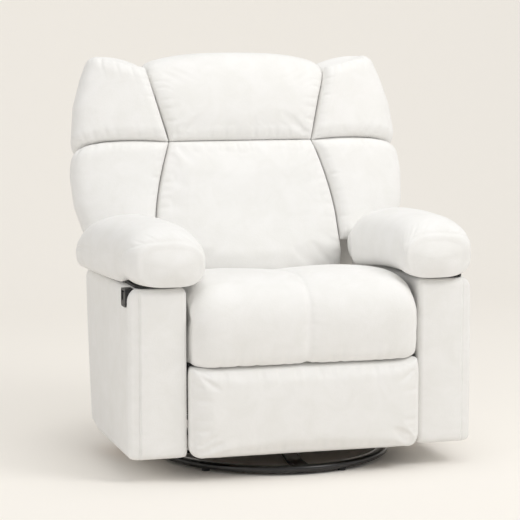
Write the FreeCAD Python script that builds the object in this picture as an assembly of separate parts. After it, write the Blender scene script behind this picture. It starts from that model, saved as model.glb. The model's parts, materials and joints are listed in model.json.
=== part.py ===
import FreeCAD, Part
import math
import os

# Swivel rocker recliner. Sizes in millimetres; y is measured from the swivel axis, the front is -y.
# Left and right are the sitter's own, so left is +x. Everything is moved at the end so that the
# origin lies on the floor under the middle of the chair.

# Arms and the opening between them
SEAT_OPENING = 594.0
ARM_WIDTH = 140.0
ARM_FRONT_Y = -285.0
ARM_BOTTOM_Z = 57.0
ARM_TOP_Z = 472.0
ARM_REAR_BOTTOM_Y = 175.0
ARM_REAR_TOP_Y = 245.0
ARM_PAD = 14.0
ARM_FRAME_BAND = 30.0
ARM_BOARD_T = 18.0
TOP_BOARD_T = 6.0
TOP_BOARD_INSET = 7.0
PILLOW_OVERHANG_IN = 44.0
PILLOW_OVERHANG_OUT = 18.0
PILLOW_CROWN_Z = 622.0
PILLOW_SHOULDER = 58.0
PILLOW_TUCK = 22.0
PILLOW_BULGE = 8.0
PILLOW_DROOP = 16.0
PILLOW_CORNER_R = 58.0
PILLOW_NOSE_R = 26.0
PILLOW_END_R = 58.0
PILLOW_FRONT_Y = -302.0
PILLOW_REAR_Y = 236.0
PILLOW_NECK_Y = 150.0
PILLOW_TAIL_Y = 204.0
PILLOW_TAIL_H = 36.0
PILLOW_TIP_H = 22.0
PILLOW_BACK_GAP = 12.0

# Base ring, swivel and rocker
RING_OUTER_R = 300.0
RING_W = 28.0
RING_H = 17.0
RING_EASE = 4.0
GLIDE_H = 6.0
GLIDE_R = 10.0
GLIDE_COUNT = 5
GLIDE_FIRST_DEG = -141.0
SPOKE_W = 36.0
SPOKE_T = 8.0
SPOKE_RISE = 20.0
SWIVEL_PLATE_R = 115.0
SWIVEL_PLATE_T = 4.0
RACE_R = 92.0
RACE_W = 22.0
RACE_H = 4.2
KINGPIN_R = 8.0
ROCKER_HALF_GAUGE = 150.0
ROCKER_W = 40.0
ROCKER_RAIL_H = 36.0
ROCKER_RAIL_HALF = 100.0
CAM_R = 240.0
CAM_HALF = 142.0
CAM_H = 80.0
SPRING_COIL_R = 14.0
SPRING_WIRE_R = 2.5
SPRING_HALF_SPREAD = 70.0
SPRING_LEAF_T = 3.0
SPRING_FLANGE_H = 24.0

# Chassis and mechanism
CHANNEL_W = 36.0
CHANNEL_H = 36.0
CHANNEL_T = 3.0
FRONT_CHANNEL_Y = -62.0
REAR_CHANNEL_Y = 128.0
BOLT_R = 4.0
BOLT_HEAD_R = 7.5
BOLT_HEAD_H = 5.3
PLATE_INSET = 31.0
LINK_T = 4.0
LINK_GAP = 1.0
LINK_R = 11.0
PIN_R = 4.0
TUBE_R = 11.0
TUBE_WALL = 2.0
TUBE_STUB_R = 6.0
RUN = 0.05
OPEN_PIVOT = 0.25
CLEAR = 0.3

# Footrest tongs, all in the side view: pivots as (y, z)
MAIN_PIVOT = (-193.0, 261.0)
MAIN_LINK_L = 194.0
MAIN_LINK_BACK_DEG = 26.0
FRONT_LINK_L = 176.0
FRONT_LINK_FORWARD_DEG = 45.5
CONTROL_STEP = (-38.0, 13.0)
BRACKET_STEP = (4.5, 41.0)

# Seat
SEAT_FRONT_Y = -325.0
SEAT_REAR_Y = 148.0
SEAT_TOP_Z = 500.0
SEAT_CREST_Y = -195.0
SEAT_FALL = 46.0
SEAT_ROLL = 42.0
SEAT_LIP = 24.0
SEAT_BOWS = (0, 10.0, 12.0, 10.0, 9.0, 0, 0, 0)
SEAT_NOSE_Z = 283.0
SEAT_NOSE_REAR_Y = -252.0
SEAT_SIDE_GAP = 9.0
SEAT_DROP = 40.0
SEAT_PULL = 30.0
SEAT_FRAME_Z = 290.0
SEAT_FRAME_H = 55.0
SEAT_FRAME_RAIL = 24.0
SEAT_FRAME_FRONT_Y = -236.0
SEAT_FRAME_REAR_Y = 122.0
WEB_T = 2.0
WEB_W = 50.0
SEAT_WEB_COUNT = 6

# Footrest panel
FOOTREST_FRONT_Y = -327.0
FOOTREST_BOARD_Y = -245.0
FOOTREST_BOARD_T = 15.0
FOOTREST_BOTTOM_Z = 54.0
FOOTREST_TOP_Z = 275.0
FOOTREST_HALF_W = 288.0

# Back
RECLINE_PIVOT = (170.0, 335.0)
BACK_BOTTOM_Z = 328.0
LUMBAR_NECK_Z = 462.0
LUMBAR_FLARE_Z = 565.0
LUMBAR_HALF_W = 256.0
WAIST_Z = 787.0
WAIST_HALF_W = 197.0
NOTCH_Z = 987.0
NOTCH_HALF_W = 250.0
BACK_TOP_Z = 1018.0
BACK_FRONT_Y = 186.0
BACK_SEAT_Y = 190.0
BACK_WAIST_Y = 278.0
BACK_NOTCH_Y = 328.0
BACK_TOP_Y = 352.0
FRAME_FOOT_Y = 262.0
FRAME_SLOPE = 0.247
FRAME_T = 25.0
BRACKET_T = 5.0
BRACKET_FOOT = 70.0
BRACKET_HEEL = 40.0
FRAME_RAIL = 34.0
BACK_WEB_COUNT = 5
OUTER_PAD = 42.0
OUTER_CROWN = 18.0
OUTER_BOTTOM_Z = 300.0
OUTER_LAP = 2.0
WING_SEAM_Z = 775.0
WING_HALF_W = 446.0
WING_TOP_HALF_W = 370.0
WING_TOP_Z = 1006.0
WING_BOTTOM_Z = 520.0
WING_BOTTOM_HALF_W = 428.0
WING_SETBACK = 4.0
WING_SWEEP = 20.0
WING_TAPER = 34.0
WING_ROUND = 60.0
WING_SOFT = 14.0
WING_CORNER_R = 46.0
WING_TRIM = 4.0
WING_HUG = 6.0
WING_JOIN = 1.0
CROWN = 20.0

# Release paddle at the front top corner of the right arm
BEZEL_FRONT_Y = -268.0
BEZEL_LENGTH = 46.0
BEZEL_H = 44.0
BEZEL_DEPTH = 22.0
BEZEL_PROUD = 4.0
BEZEL_WALL = 5.0
PADDLE_T = 8.0
PADDLE_PIN_R = 2.5

# Rear skirt between the arms
SKIRT_BOTTOM_Z = 82.0
SKIRT_TOP_Z = 205.0
SKIRT_T = 12.0

ARM_IN = SEAT_OPENING / 2
ARM_OUT = ARM_IN + ARM_WIDTH
RING_R = RING_OUTER_R - RING_W / 2
RING_Z = GLIDE_H + RING_H / 2
SPOKE_TOP_Z = RING_Z + SPOKE_T / 2 + SPOKE_RISE
LOWER_PLATE_Z = SPOKE_TOP_Z
RACE_Z = LOWER_PLATE_Z + SWIVEL_PLATE_T
UPPER_PLATE_Z = RACE_Z + RACE_H + CLEAR
ROCKER_RAIL_Z = UPPER_PLATE_Z + SWIVEL_PLATE_T
ROCKER_RAIL_TOP = ROCKER_RAIL_Z + ROCKER_RAIL_H
ROCK_AXIS_Z = ROCKER_RAIL_TOP + CLEAR + CAM_R
CAM_TOP_Z = ROCKER_RAIL_TOP + CLEAR + CAM_H
CHANNEL_TOP_Z = CAM_TOP_Z + CHANNEL_H
PLATE_X = ARM_IN - PLATE_INSET - LINK_T
SEAT_HALF_W = ARM_IN - SEAT_SIDE_GAP
SEAT_FRAME_HALF_W = PLATE_X - 2 * LINK_T - 2 * LINK_GAP
FRAME_HALF_W = PLATE_X - LINK_GAP - BRACKET_T
OUTER_HALF_W = FRAME_HALF_W + OUTER_LAP
WEB_TOP_Z = SEAT_FRAME_Z + SEAT_FRAME_H + WEB_T
FRAME_TOP_Z = NOTCH_Z - FRAME_T - 5
BACK_REAR_Y = FRAME_FOOT_Y + FRAME_SLOPE * (FRAME_TOP_Z - BACK_BOTTOM_Z) + FRAME_T + OUTER_PAD
MIDDLE_Y = (FOOTREST_FRONT_Y + BACK_REAR_Y) / 2

Vec = FreeCAD.Vector


def save(name, *solids):
    shape = solids[0].copy() if len(solids) == 1 else Part.makeCompound(list(solids))
    shape.translate(Vec(0, -MIDDLE_Y, 0))
    shape.exportStep(f"parts/{name}.step")


def mirrored(shape):
    return shape.mirror(Vec(0, 0, 0), Vec(1, 0, 0))


def save_pair(name, shape):
    save(f"{name}_left", shape)
    save(f"{name}_right", mirrored(shape))


def side_view(x):
    return lambda u, w: Vec(x, u, w)


def front_view(y):
    return lambda u, w: Vec(u, y, w)


def top_view(z):
    return lambda u, w: Vec(u, w, z)


def corner(before, at, after, radius):
    # The start, middle and end of the arc that rounds one corner of an outline
    a = Vec(before[0] - at[0], before[1] - at[1], 0).normalize()
    b = Vec(after[0] - at[0], after[1] - at[1], 0).normalize()
    half = a.getAngle(b) / 2
    reach = radius / math.tan(half)
    p = Vec(at[0], at[1], 0)
    middle = p + (a + b).normalize() * (radius / math.sin(half) - radius)
    return p + a * reach, middle, p + b * reach


def rounded_face(points, place):
    # A closed outline of (u, w, corner radius), laid in a view plane
    arcs = []
    for i, (u, w, radius) in enumerate(points):
        before = points[i - 1][:2]
        after = points[(i + 1) % len(points)][:2]
        if radius:
            arcs.append(corner(before, (u, w), after, radius))
        else:
            arcs.append((Vec(u, w, 0),) * 3)
    edges = []
    for i, (start, middle, end) in enumerate(arcs):
        if (end - start).Length > 1e-6:
            bend = [place(p.x, p.y) for p in (start, middle, end)]
            edges.append(Part.Arc(*bend).toShape())
        begin = arcs[(i + 1) % len(arcs)][0]
        if (begin - end).Length > 1e-6:
            edges.append(Part.makeLine(place(end.x, end.y), place(begin.x, begin.y)))
    return Part.Face(Part.Wire(edges))


def side_slab(points, x0, x1):
    return rounded_face(points, side_view(x0)).extrude(Vec(x1 - x0, 0, 0))


def front_slab(points, y0, y1):
    return rounded_face(points, front_view(y0)).extrude(Vec(0, y1 - y0, 0))


def top_slab(points, z0, z1):
    return rounded_face(points, top_view(z0)).extrude(Vec(0, 0, z1 - z0))


def rectangle(u0, w0, u1, w1, radius=0.0):
    return [(u0, w0, radius), (u1, w0, radius), (u1, w1, radius), (u0, w1, radius)]


def rod_x(pivot, radius, x0, x1):
    return Part.makeCylinder(radius, x1 - x0, Vec(x0, pivot[0], pivot[1]), Vec(1, 0, 0))


def strap(p, q, radius, x0, x1):
    # A flat bar with round ends between two pivots
    a = Vec(x0, p[0], p[1])
    b = Vec(x0, q[0], q[1])
    along = (b - a).normalize() * radius
    across = Vec(0, -along.z, along.y)
    edges = [
        Part.makeLine(a + across, b + across),
        Part.Arc(b + across, b + along, b - across).toShape(),
        Part.makeLine(b - across, a - across),
        Part.Arc(a - across, a - along, a + across).toShape(),
    ]
    return Part.Face(Part.Wire(edges)).extrude(Vec(x1 - x0, 0, 0))


def shifted(p, step):
    return (p[0] + step[0], p[1] + step[1])


def layer(k):
    # Inner face of the k-th steel layer outward from the side plate
    return PLATE_X + k * (LINK_T + LINK_GAP)


def bowed_wire(corners, bows, place):
    # A closed section whose sides are arcs bowed outward by the given amounts, or lines
    edges = []
    for i, (u, w) in enumerate(corners):
        u2, w2 = corners[(i + 1) % len(corners)]
        start = place(u, w)
        end = place(u2, w2)
        if bows[i]:
            length = math.hypot(u2 - u, w2 - w)
            out_u = (w2 - w) / length * bows[i]
            out_w = (u - u2) / length * bows[i]
            middle = place((u + u2) / 2 + out_u, (w + w2) / 2 + out_w)
            edges.append(Part.Arc(start, middle, end).toShape())
        else:
            edges.append(Part.makeLine(start, end))
    return Part.Wire(edges)


def soft_loft(wires):
    solid = Part.makeLoft(wires, True, True)
    if solid.Volume < 0:
        solid.reverse()
    return solid


def blend_along(table, at):
    # Straight interpolation in a short table of (position, value)
    for (p0, v0), (p1, v1) in zip(table, table[1:]):
        if at <= p1:
            return v0 + (v1 - v0) * (at - p0) / (p1 - p0)
    return table[-1][1]


# Base ring on its floor glides, with four spokes under the lower swivel plate
def base_ring():
    # Rolled flat bar with eased top edges
    inner = RING_OUTER_R - RING_W
    top = GLIDE_H + RING_H
    return disc([
        (inner, GLIDE_H),
        (RING_OUTER_R, GLIDE_H),
        (RING_OUTER_R, top - RING_EASE),
        (RING_OUTER_R - RING_EASE, top),
        (inner + RING_EASE, top),
        (inner, top - RING_EASE),
    ])


def floor_glides():
    glides = []
    for i in range(GLIDE_COUNT):
        angle = math.radians(GLIDE_FIRST_DEG + 360.0 * i / GLIDE_COUNT)
        at = Vec(RING_R * math.cos(angle), RING_R * math.sin(angle), 0)
        glides.append(Part.makeCylinder(GLIDE_R, GLIDE_H, at))
    return glides


def base_spokes():
    low = RING_Z - SPOKE_T / 2
    high = SPOKE_TOP_Z - SPOKE_T
    knee_out = RING_R * 0.72
    knee_in = SWIVEL_PLATE_R
    hub = KINGPIN_R * 3
    path = [
        (RING_R, low, 0),
        (RING_R, low + SPOKE_T, 0),
        (knee_out, low + SPOKE_T, 30),
        (knee_in, high + SPOKE_T, 30),
        (hub, high + SPOKE_T, 0),
        (hub, high, 0),
        (knee_in, high, 30),
        (knee_out, low, 30),
    ]
    spoke = front_slab(path, -SPOKE_W / 2, SPOKE_W / 2).cut(base_ring())
    spokes = []
    for i in range(4):
        turned = spoke.copy()
        turned.rotate(Vec(0, 0, 0), Vec(0, 0, 1), 90.0 * i)
        spokes.append(turned)
    return spokes


def disc(points):
    # A body of revolution about the swivel axis from (radius, height) corners
    face = rounded_face([(u, w, 0) for u, w in points], front_view(0))
    return face.revolve(Vec(0, 0, 0), Vec(0, 0, 1), 360)


def ring_section(r0, r1, z0, z1):
    return disc([(r0, z0), (r1, z0), (r1, z1), (r0, z1)])


def lower_swivel_plate():
    return ring_section(KINGPIN_R + RUN, SWIVEL_PLATE_R, LOWER_PLATE_Z, LOWER_PLATE_Z + SWIVEL_PLATE_T)


def swivel_race():
    return ring_section(RACE_R - RACE_W / 2, RACE_R + RACE_W / 2, RACE_Z, RACE_Z + RACE_H)


def swivel_kingpin():
    head_h = 6.0
    nut_z = ROCKER_RAIL_Z + CLEAR
    return disc([
        (0, LOWER_PLATE_Z - head_h),
        (KINGPIN_R * 2, LOWER_PLATE_Z - head_h),
        (KINGPIN_R * 2, LOWER_PLATE_Z),
        (KINGPIN_R, LOWER_PLATE_Z),
        (KINGPIN_R, nut_z),
        (KINGPIN_R * 2, nut_z),
        (KINGPIN_R * 2, nut_z + head_h),
        (0, nut_z + head_h),
    ])


def upper_swivel_plate():
    half_x = ROCKER_HALF_GAUGE + ROCKER_W / 2
    half_y = ROCKER_RAIL_HALF - 5
    plate = top_slab(rectangle(-half_x, -half_y, half_x, half_y, 18), UPPER_PLATE_Z, ROCKER_RAIL_Z)
    bore = Part.makeCylinder(KINGPIN_R + RUN, SWIVEL_PLATE_T, Vec(0, 0, UPPER_PLATE_Z))
    return plate.cut(bore)


# Rocker: flat rails on the upper plate, curved cams on them, and springs between the two
ROCKER_X0 = ROCKER_HALF_GAUGE - ROCKER_W / 2
ROCKER_X1 = ROCKER_HALF_GAUGE + ROCKER_W / 2


def rocker_rail():
    slope = ROCKER_RAIL_H * 0.6
    ends = [
        (-ROCKER_RAIL_HALF, ROCKER_RAIL_Z, 4),
        (ROCKER_RAIL_HALF, ROCKER_RAIL_Z, 4),
        (ROCKER_RAIL_HALF, ROCKER_RAIL_Z + slope, 4),
        (ROCKER_RAIL_HALF - slope, ROCKER_RAIL_TOP, 6),
        (-ROCKER_RAIL_HALF + slope, ROCKER_RAIL_TOP, 6),
        (-ROCKER_RAIL_HALF, ROCKER_RAIL_Z + slope, 4),
    ]
    return side_slab(ends, ROCKER_X0, ROCKER_X1)


def cam_edge_z(y):
    return ROCK_AXIS_Z - math.sqrt(CAM_R ** 2 - y ** 2)


def rocker_cam():
    place = side_view(ROCKER_X0)
    foot = place(0, cam_edge_z(0))
    front = place(-CAM_HALF, cam_edge_z(CAM_HALF))
    rear = place(CAM_HALF, cam_edge_z(CAM_HALF))
    edges = [
        Part.Arc(front, foot, rear).toShape(),
        Part.makeLine(rear, place(CAM_HALF, CAM_TOP_Z)),
        Part.makeLine(place(CAM_HALF, CAM_TOP_Z), place(-CAM_HALF, CAM_TOP_Z)),
        Part.makeLine(place(-CAM_HALF, CAM_TOP_Z), front),
    ]
    cam = Part.Face(Part.Wire(edges)).extrude(Vec(ROCKER_W, 0, 0))
    for y in (FRONT_CHANNEL_Y, REAR_CHANNEL_Y):
        hole = Part.makeCylinder(BOLT_R + RUN, CAM_H, Vec(ROCKER_HALF_GAUGE, y, CAM_TOP_Z - BOLT_R * 6))
        cam = cam.cut(hole)
    return cam


SPRING_X = ROCKER_X1 + SPRING_COIL_R + 2 * SPRING_WIRE_R + SPRING_LEAF_T
SPRING_Z0 = ROCKER_RAIL_TOP - SPRING_LEAF_T
SPRING_Z1 = CAM_TOP_Z - 2 * SPRING_LEAF_T


def spring_seat(x_sign, y, leaf_z, flange_z0, flange_z1):
    # An angle bracket: a flange on the rocker and a leaf that carries one end of the spring
    half = SPRING_COIL_R + SPRING_WIRE_R
    outer = SPRING_X + half
    leaf = Part.makeBox(outer - ROCKER_X1, 2 * half, SPRING_LEAF_T, Vec(ROCKER_X1, y - half, leaf_z))
    flange = Part.makeBox(SPRING_LEAF_T, 2 * half, flange_z1 - flange_z0, Vec(ROCKER_X1, y - half, flange_z0))
    seat = leaf.fuse(flange).removeSplitter()
    return seat if x_sign > 0 else mirrored(seat)


def spring_places():
    return [(sx, sy * SPRING_HALF_SPREAD) for sx in (1, -1) for sy in (1, -1)]


def lower_spring_seats():
    top = SPRING_Z0
    return [spring_seat(sx, y, top - SPRING_LEAF_T, top - SPRING_FLANGE_H, top) for sx, y in spring_places()]


def upper_spring_seats():
    low = SPRING_Z1 + SPRING_LEAF_T - SPRING_FLANGE_H
    return [spring_seat(sx, y, SPRING_Z1, low, SPRING_Z1 + SPRING_LEAF_T) for sx, y in spring_places()]


def rocker_springs():
    # Close-wound springs stand between their leaves as plain cylinders
    radius = SPRING_COIL_R + SPRING_WIRE_R
    height = SPRING_Z1 - SPRING_Z0
    return [Part.makeCylinder(radius, height, Vec(sx * SPRING_X, y, SPRING_Z0)) for sx, y in spring_places()]


# Chassis: two channels across the cams carry the arms and the side plates
def chassis_channel(y):
    half = CHANNEL_W / 2
    inner = half - CHANNEL_T
    profile = [
        (y - half, CAM_TOP_Z, 0),
        (y - inner, CAM_TOP_Z, 0),
        (y - inner, CHANNEL_TOP_Z - CHANNEL_T, 2),
        (y + inner, CHANNEL_TOP_Z - CHANNEL_T, 2),
        (y + inner, CAM_TOP_Z, 0),
        (y + half, CAM_TOP_Z, 0),
        (y + half, CHANNEL_TOP_Z, 4),
        (y - half, CHANNEL_TOP_Z, 4),
    ]
    channel = side_slab(profile, -ARM_IN, ARM_IN)
    for sx in (1, -1):
        hole = Part.makeCylinder(
            BOLT_R + RUN, CHANNEL_H, Vec(sx * ROCKER_HALF_GAUGE, y, CHANNEL_TOP_Z - CHANNEL_H / 2))
        channel = channel.cut(hole)
    return channel


def chassis_bolts():
    bolts = []
    for sx in (1, -1):
        for y in (FRONT_CHANNEL_Y, REAR_CHANNEL_Y):
            foot = CAM_TOP_Z - BOLT_R * 5
            shank = Part.makeCylinder(BOLT_R, CHANNEL_TOP_Z - foot, Vec(sx * ROCKER_HALF_GAUGE, y, foot))
            hexagon = Part.makePolygon([
                Vec(sx * ROCKER_HALF_GAUGE + BOLT_HEAD_R * math.cos(math.pi / 3 * i),
                    y + BOLT_HEAD_R * math.sin(math.pi / 3 * i), CHANNEL_TOP_Z) for i in range(7)])
            head = Part.Face(hexagon).extrude(Vec(0, 0, BOLT_HEAD_H))
            bolts.append(shank.fuse(head).removeSplitter())
    return bolts


# Pivots of the footrest tongs at rest
def polar(origin, length, forward_deg, down):
    angle = math.radians(forward_deg)
    side = -1 if down else 1
    return (origin[0] - length * math.sin(angle), origin[1] + side * length * math.cos(angle))


ELBOW = polar(MAIN_PIVOT, MAIN_LINK_L, -MAIN_LINK_BACK_DEG, True)
KNUCKLE = polar(ELBOW, FRONT_LINK_L, FRONT_LINK_FORWARD_DEG, False)
CONTROL_PIVOT = shifted(MAIN_PIVOT, CONTROL_STEP)
CONTROL_END = shifted(ELBOW, CONTROL_STEP)
STAY_PIVOT = shifted(ELBOW, BRACKET_STEP)
STAY_END = shifted(KNUCKLE, BRACKET_STEP)


def side_plate():
    # Pressed side plate with a foot flange on the channels and a ledge under the seat frame
    x0 = PLATE_X
    x1 = PLATE_X + LINK_T
    nose = LINK_R + 3
    tail = LINK_R + 5
    ledge_z = SEAT_FRAME_Z
    rear_y = RECLINE_PIVOT[0] + tail
    outline = [
        (CONTROL_PIVOT[0] - nose, CONTROL_PIVOT[1] + nose, 13),
        (CONTROL_PIVOT[0] - nose, CONTROL_PIVOT[1] - nose, 13),
        (MAIN_PIVOT[0] - nose * 1.7, CONTROL_PIVOT[1] - nose, 4),
        (MAIN_PIVOT[0] - nose * 0.6, MAIN_PIVOT[1] - nose, 8),
        (MAIN_PIVOT[0] + nose, MAIN_PIVOT[1] - nose, 8),
        (FRONT_CHANNEL_Y - CHANNEL_W / 2, CHANNEL_TOP_Z, 12),
        (REAR_CHANNEL_Y + CHANNEL_W / 2, CHANNEL_TOP_Z, 12),
        (rear_y, RECLINE_PIVOT[1] - tail * 2, 20),
        (rear_y, RECLINE_PIVOT[1] + tail, 15),
        (RECLINE_PIVOT[0] - tail, RECLINE_PIVOT[1] + tail, 15),
        (SEAT_FRAME_REAR_Y, ledge_z, 20),
    ]
    plate = side_slab(outline, x0, x1)
    window = rectangle(FRONT_CHANNEL_Y + 10, CHANNEL_TOP_Z + 22, REAR_CHANNEL_Y - 20, ledge_z - 22, 14)
    plate = plate.cut(side_slab(window, x0, x1))
    flange_w = 30.0
    foot = Part.makeBox(
        flange_w, REAR_CHANNEL_Y - FRONT_CHANNEL_Y + CHANNEL_W - 24, LINK_T,
        Vec(x1 - flange_w, FRONT_CHANNEL_Y - CHANNEL_W / 2 + 12, CHANNEL_TOP_Z))
    ledge = Part.makeBox(
        flange_w, SEAT_FRAME_REAR_Y - 30 - FRONT_CHANNEL_Y, LINK_T,
        Vec(x1 - flange_w, FRONT_CHANNEL_Y, ledge_z - LINK_T))
    plate = plate.fuse([foot, ledge]).removeSplitter()
    plate = plate.cut(rod_x(MAIN_PIVOT, TUBE_STUB_R + RUN, x0, x1))
    plate = plate.cut(rod_x(CONTROL_PIVOT, PIN_R + RUN, x0, x1))
    return plate.cut(rod_x(RECLINE_PIVOT, TUBE_STUB_R + RUN, x0, x1))


# Footrest tongs. Main and control links turn on the side plate, the front link and the stay reach
# from the main link to the footrest bracket; each pair keeps parallel through the whole travel.
def drive_tube():
    end = layer(-1) - LINK_GAP
    tube = rod_x(MAIN_PIVOT, TUBE_R, -end, end).cut(rod_x(MAIN_PIVOT, TUBE_R - TUBE_WALL, -end, end))
    plug_x = end - 3 * LINK_T
    plug = rod_x(MAIN_PIVOT, TUBE_R - TUBE_WALL, plug_x, end)
    stub = rod_x(MAIN_PIVOT, TUBE_STUB_R, end, layer(1) + LINK_T)
    side = plug.fuse(stub)
    return tube.fuse([side, mirrored(side)]).removeSplitter()


def main_link():
    x0 = layer(1)
    x1 = x0 + LINK_T
    arm = strap(MAIN_PIVOT, ELBOW, LINK_R, x0, x1)
    lobe = strap(STAY_PIVOT, ELBOW, LINK_R, x0, x1)
    link = arm.fuse(lobe).removeSplitter()
    link = link.cut(rod_x(MAIN_PIVOT, TUBE_STUB_R, x0, x1))
    elbow_pin = rod_x(ELBOW, PIN_R, x1, layer(2) + LINK_T)
    stay_pin = rod_x(STAY_PIVOT, PIN_R, layer(-1), x0)
    return link.fuse([elbow_pin, stay_pin]).removeSplitter()


def control_link():
    x0 = layer(3)
    x1 = x0 + LINK_T
    link = strap(CONTROL_PIVOT, CONTROL_END, LINK_R - 2, x0, x1)
    link = link.cut(rod_x(CONTROL_END, PIN_R + OPEN_PIVOT, x0, x1))
    return link.fuse(rod_x(CONTROL_PIVOT, PIN_R, layer(0), x0)).removeSplitter()


def front_link():
    x0 = layer(2)
    x1 = x0 + LINK_T
    link = strap(ELBOW, KNUCKLE, LINK_R, x0, x1).fuse(strap(ELBOW, CONTROL_END, LINK_R, x0, x1))
    link = link.removeSplitter().cut(rod_x(ELBOW, PIN_R + RUN, x0, x1))
    knuckle_pin = rod_x(KNUCKLE, PIN_R, layer(0), x0)
    control_pin = rod_x(CONTROL_END, PIN_R, x1, layer(3) + LINK_T)
    return link.fuse([knuckle_pin, control_pin]).removeSplitter()


def stay_link():
    x0 = layer(-1)
    x1 = x0 + LINK_T
    link = strap(STAY_PIVOT, STAY_END, LINK_R - 2, x0, x1)
    link = link.cut(rod_x(STAY_PIVOT, PIN_R + RUN, x0, x1))
    return link.cut(rod_x(STAY_END, PIN_R + OPEN_PIVOT, x0, x1))


def footrest_bracket():
    x0 = layer(0)
    x1 = x0 + LINK_T
    back = FOOTREST_BOARD_Y
    low = KNUCKLE[1] - 60
    high = STAY_END[1] + PIN_R + 2
    outline = [
        (back, low, 0),
        (back + LINK_T, low, 3),
        (KNUCKLE[0] + LINK_R, KNUCKLE[1] - LINK_R, 10),
        (KNUCKLE[0] + LINK_R, high, 9),
        (back, high, 0),
    ]
    web = side_slab(outline, x0, x1)
    flange = Part.makeBox(26, LINK_T, high - low, Vec(x1 - 26, back, low))
    bracket = web.fuse(flange).removeSplitter()
    bracket = bracket.cut(rod_x(KNUCKLE, PIN_R + RUN, x0, x1))
    return bracket.fuse(rod_x(STAY_END, PIN_R, layer(-1), x0)).removeSplitter()


def footrest_board():
    edge = 12.0
    outline = rectangle(
        -FOOTREST_HALF_W + edge, FOOTREST_BOTTOM_Z + edge, FOOTREST_HALF_W - edge, FOOTREST_TOP_Z - edge, 20)
    return front_slab(outline, FOOTREST_BOARD_Y - FOOTREST_BOARD_T, FOOTREST_BOARD_Y)


def footrest_cushion():
    # Padded panel: sections from the board forward swell, then draw in to a crowned face
    rear = FOOTREST_BOARD_Y - FOOTREST_BOARD_T - CLEAR
    depth = rear - FOOTREST_FRONT_Y
    steps = ((0.0, 5.0), (0.35, 0.0), (0.72, 3.0), (0.93, 19.0), (1.0, 46.0))
    wires = []
    for share, inset in steps:
        half = FOOTREST_HALF_W - inset
        low = FOOTREST_BOTTOM_Z + inset
        high = FOOTREST_TOP_Z - inset
        bow = 2.0
        corners = [
            (-half + bow, low + bow),
            (half - bow, low + bow),
            (half - bow, high - bow),
            (-half + bow, high - bow),
        ]
        wires.append(bowed_wire(corners, [bow] * 4, front_view(rear - depth * share)))
    return soft_loft(wires)


# Seat frame, its straps and the cushion
def seat_frame():
    half = SEAT_FRAME_HALF_W
    rail = SEAT_FRAME_RAIL
    outer = rectangle(-half, SEAT_FRAME_FRONT_Y, half, SEAT_FRAME_REAR_Y, 10)
    inner = rectangle(-half + rail, SEAT_FRAME_FRONT_Y + rail, half - rail, SEAT_FRAME_REAR_Y - rail, 6)
    top = SEAT_FRAME_Z + SEAT_FRAME_H
    return top_slab(outer, SEAT_FRAME_Z, top).cut(top_slab(inner, SEAT_FRAME_Z, top))


def seat_webbing():
    straps = []
    pitch = 2 * (SEAT_FRAME_HALF_W - SEAT_FRAME_RAIL) / SEAT_WEB_COUNT
    for i in range(SEAT_WEB_COUNT):
        middle = (i - (SEAT_WEB_COUNT - 1) / 2) * pitch
        length = SEAT_FRAME_REAR_Y - SEAT_FRAME_FRONT_Y
        corner_at = Vec(middle - WEB_W / 2, SEAT_FRAME_FRONT_Y, WEB_TOP_Z - WEB_T)
        straps.append(Part.makeBox(WEB_W, length, WEB_T, corner_at))
    return straps


def seat_section(x, draw):
    # Side profile of the seat, highest near its front; draw pulls in the crest and the bullnose at a seam
    under = WEB_TOP_Z + CLEAR
    top = SEAT_TOP_Z - SEAT_DROP * draw
    front = SEAT_FRONT_Y + SEAT_PULL * draw
    corners = [
        (SEAT_REAR_Y, under),
        (SEAT_REAR_Y, top - SEAT_FALL),
        (SEAT_CREST_Y, top),
        (front + SEAT_ROLL, top - SEAT_ROLL),
        (front, (SEAT_NOSE_Z + top) / 2),
        (front + SEAT_LIP, SEAT_NOSE_Z),
        (SEAT_NOSE_REAR_Y, SEAT_NOSE_Z),
        (SEAT_NOSE_REAR_Y, under),
    ]
    return bowed_wire(corners, SEAT_BOWS, side_view(x))


def seat_cushion():
    half = SEAT_HALF_W
    steps = ((1.0, 1.2), (0.94, 0.64), (0.86, 0.24), (0.5, 0.0), (0.12, 0.06), (0.04, 0.16))
    wires = [seat_section(-half * share, draw) for share, draw in steps]
    wires.append(seat_section(0, 0.24))
    wires += [seat_section(half * share, draw) for share, draw in reversed(steps)]
    return soft_loft(wires)


# Arms: a boarded frame inside a padded cover, a dark board on top and a loose pillow
def arm_profile(inset):
    def rear_y(z):
        rise = (z - ARM_BOTTOM_Z) / (ARM_TOP_Z - ARM_BOTTOM_Z)
        return ARM_REAR_BOTTOM_Y + (ARM_REAR_TOP_Y - ARM_REAR_BOTTOM_Y) * rise - inset

    low = ARM_BOTTOM_Z + inset
    high = ARM_TOP_Z - inset
    return [
        (ARM_FRONT_Y + inset, low, 10),
        (rear_y(low), low, 10),
        (rear_y(high), high, 10),
        (ARM_FRONT_Y + inset, high, 10),
    ]


def bezel_block(grow):
    # The block that the release paddle's bezel fills in the right arm, drawn on the left side
    x1 = ARM_OUT + BEZEL_PROUD
    y0 = BEZEL_FRONT_Y - grow
    y1 = BEZEL_FRONT_Y + BEZEL_LENGTH + grow
    z1 = ARM_TOP_Z - 2
    outline = rectangle(y0, z1 - BEZEL_H - grow, y1, z1 + grow, 7)
    return side_slab(outline, x1 - BEZEL_DEPTH - grow, x1)


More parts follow.
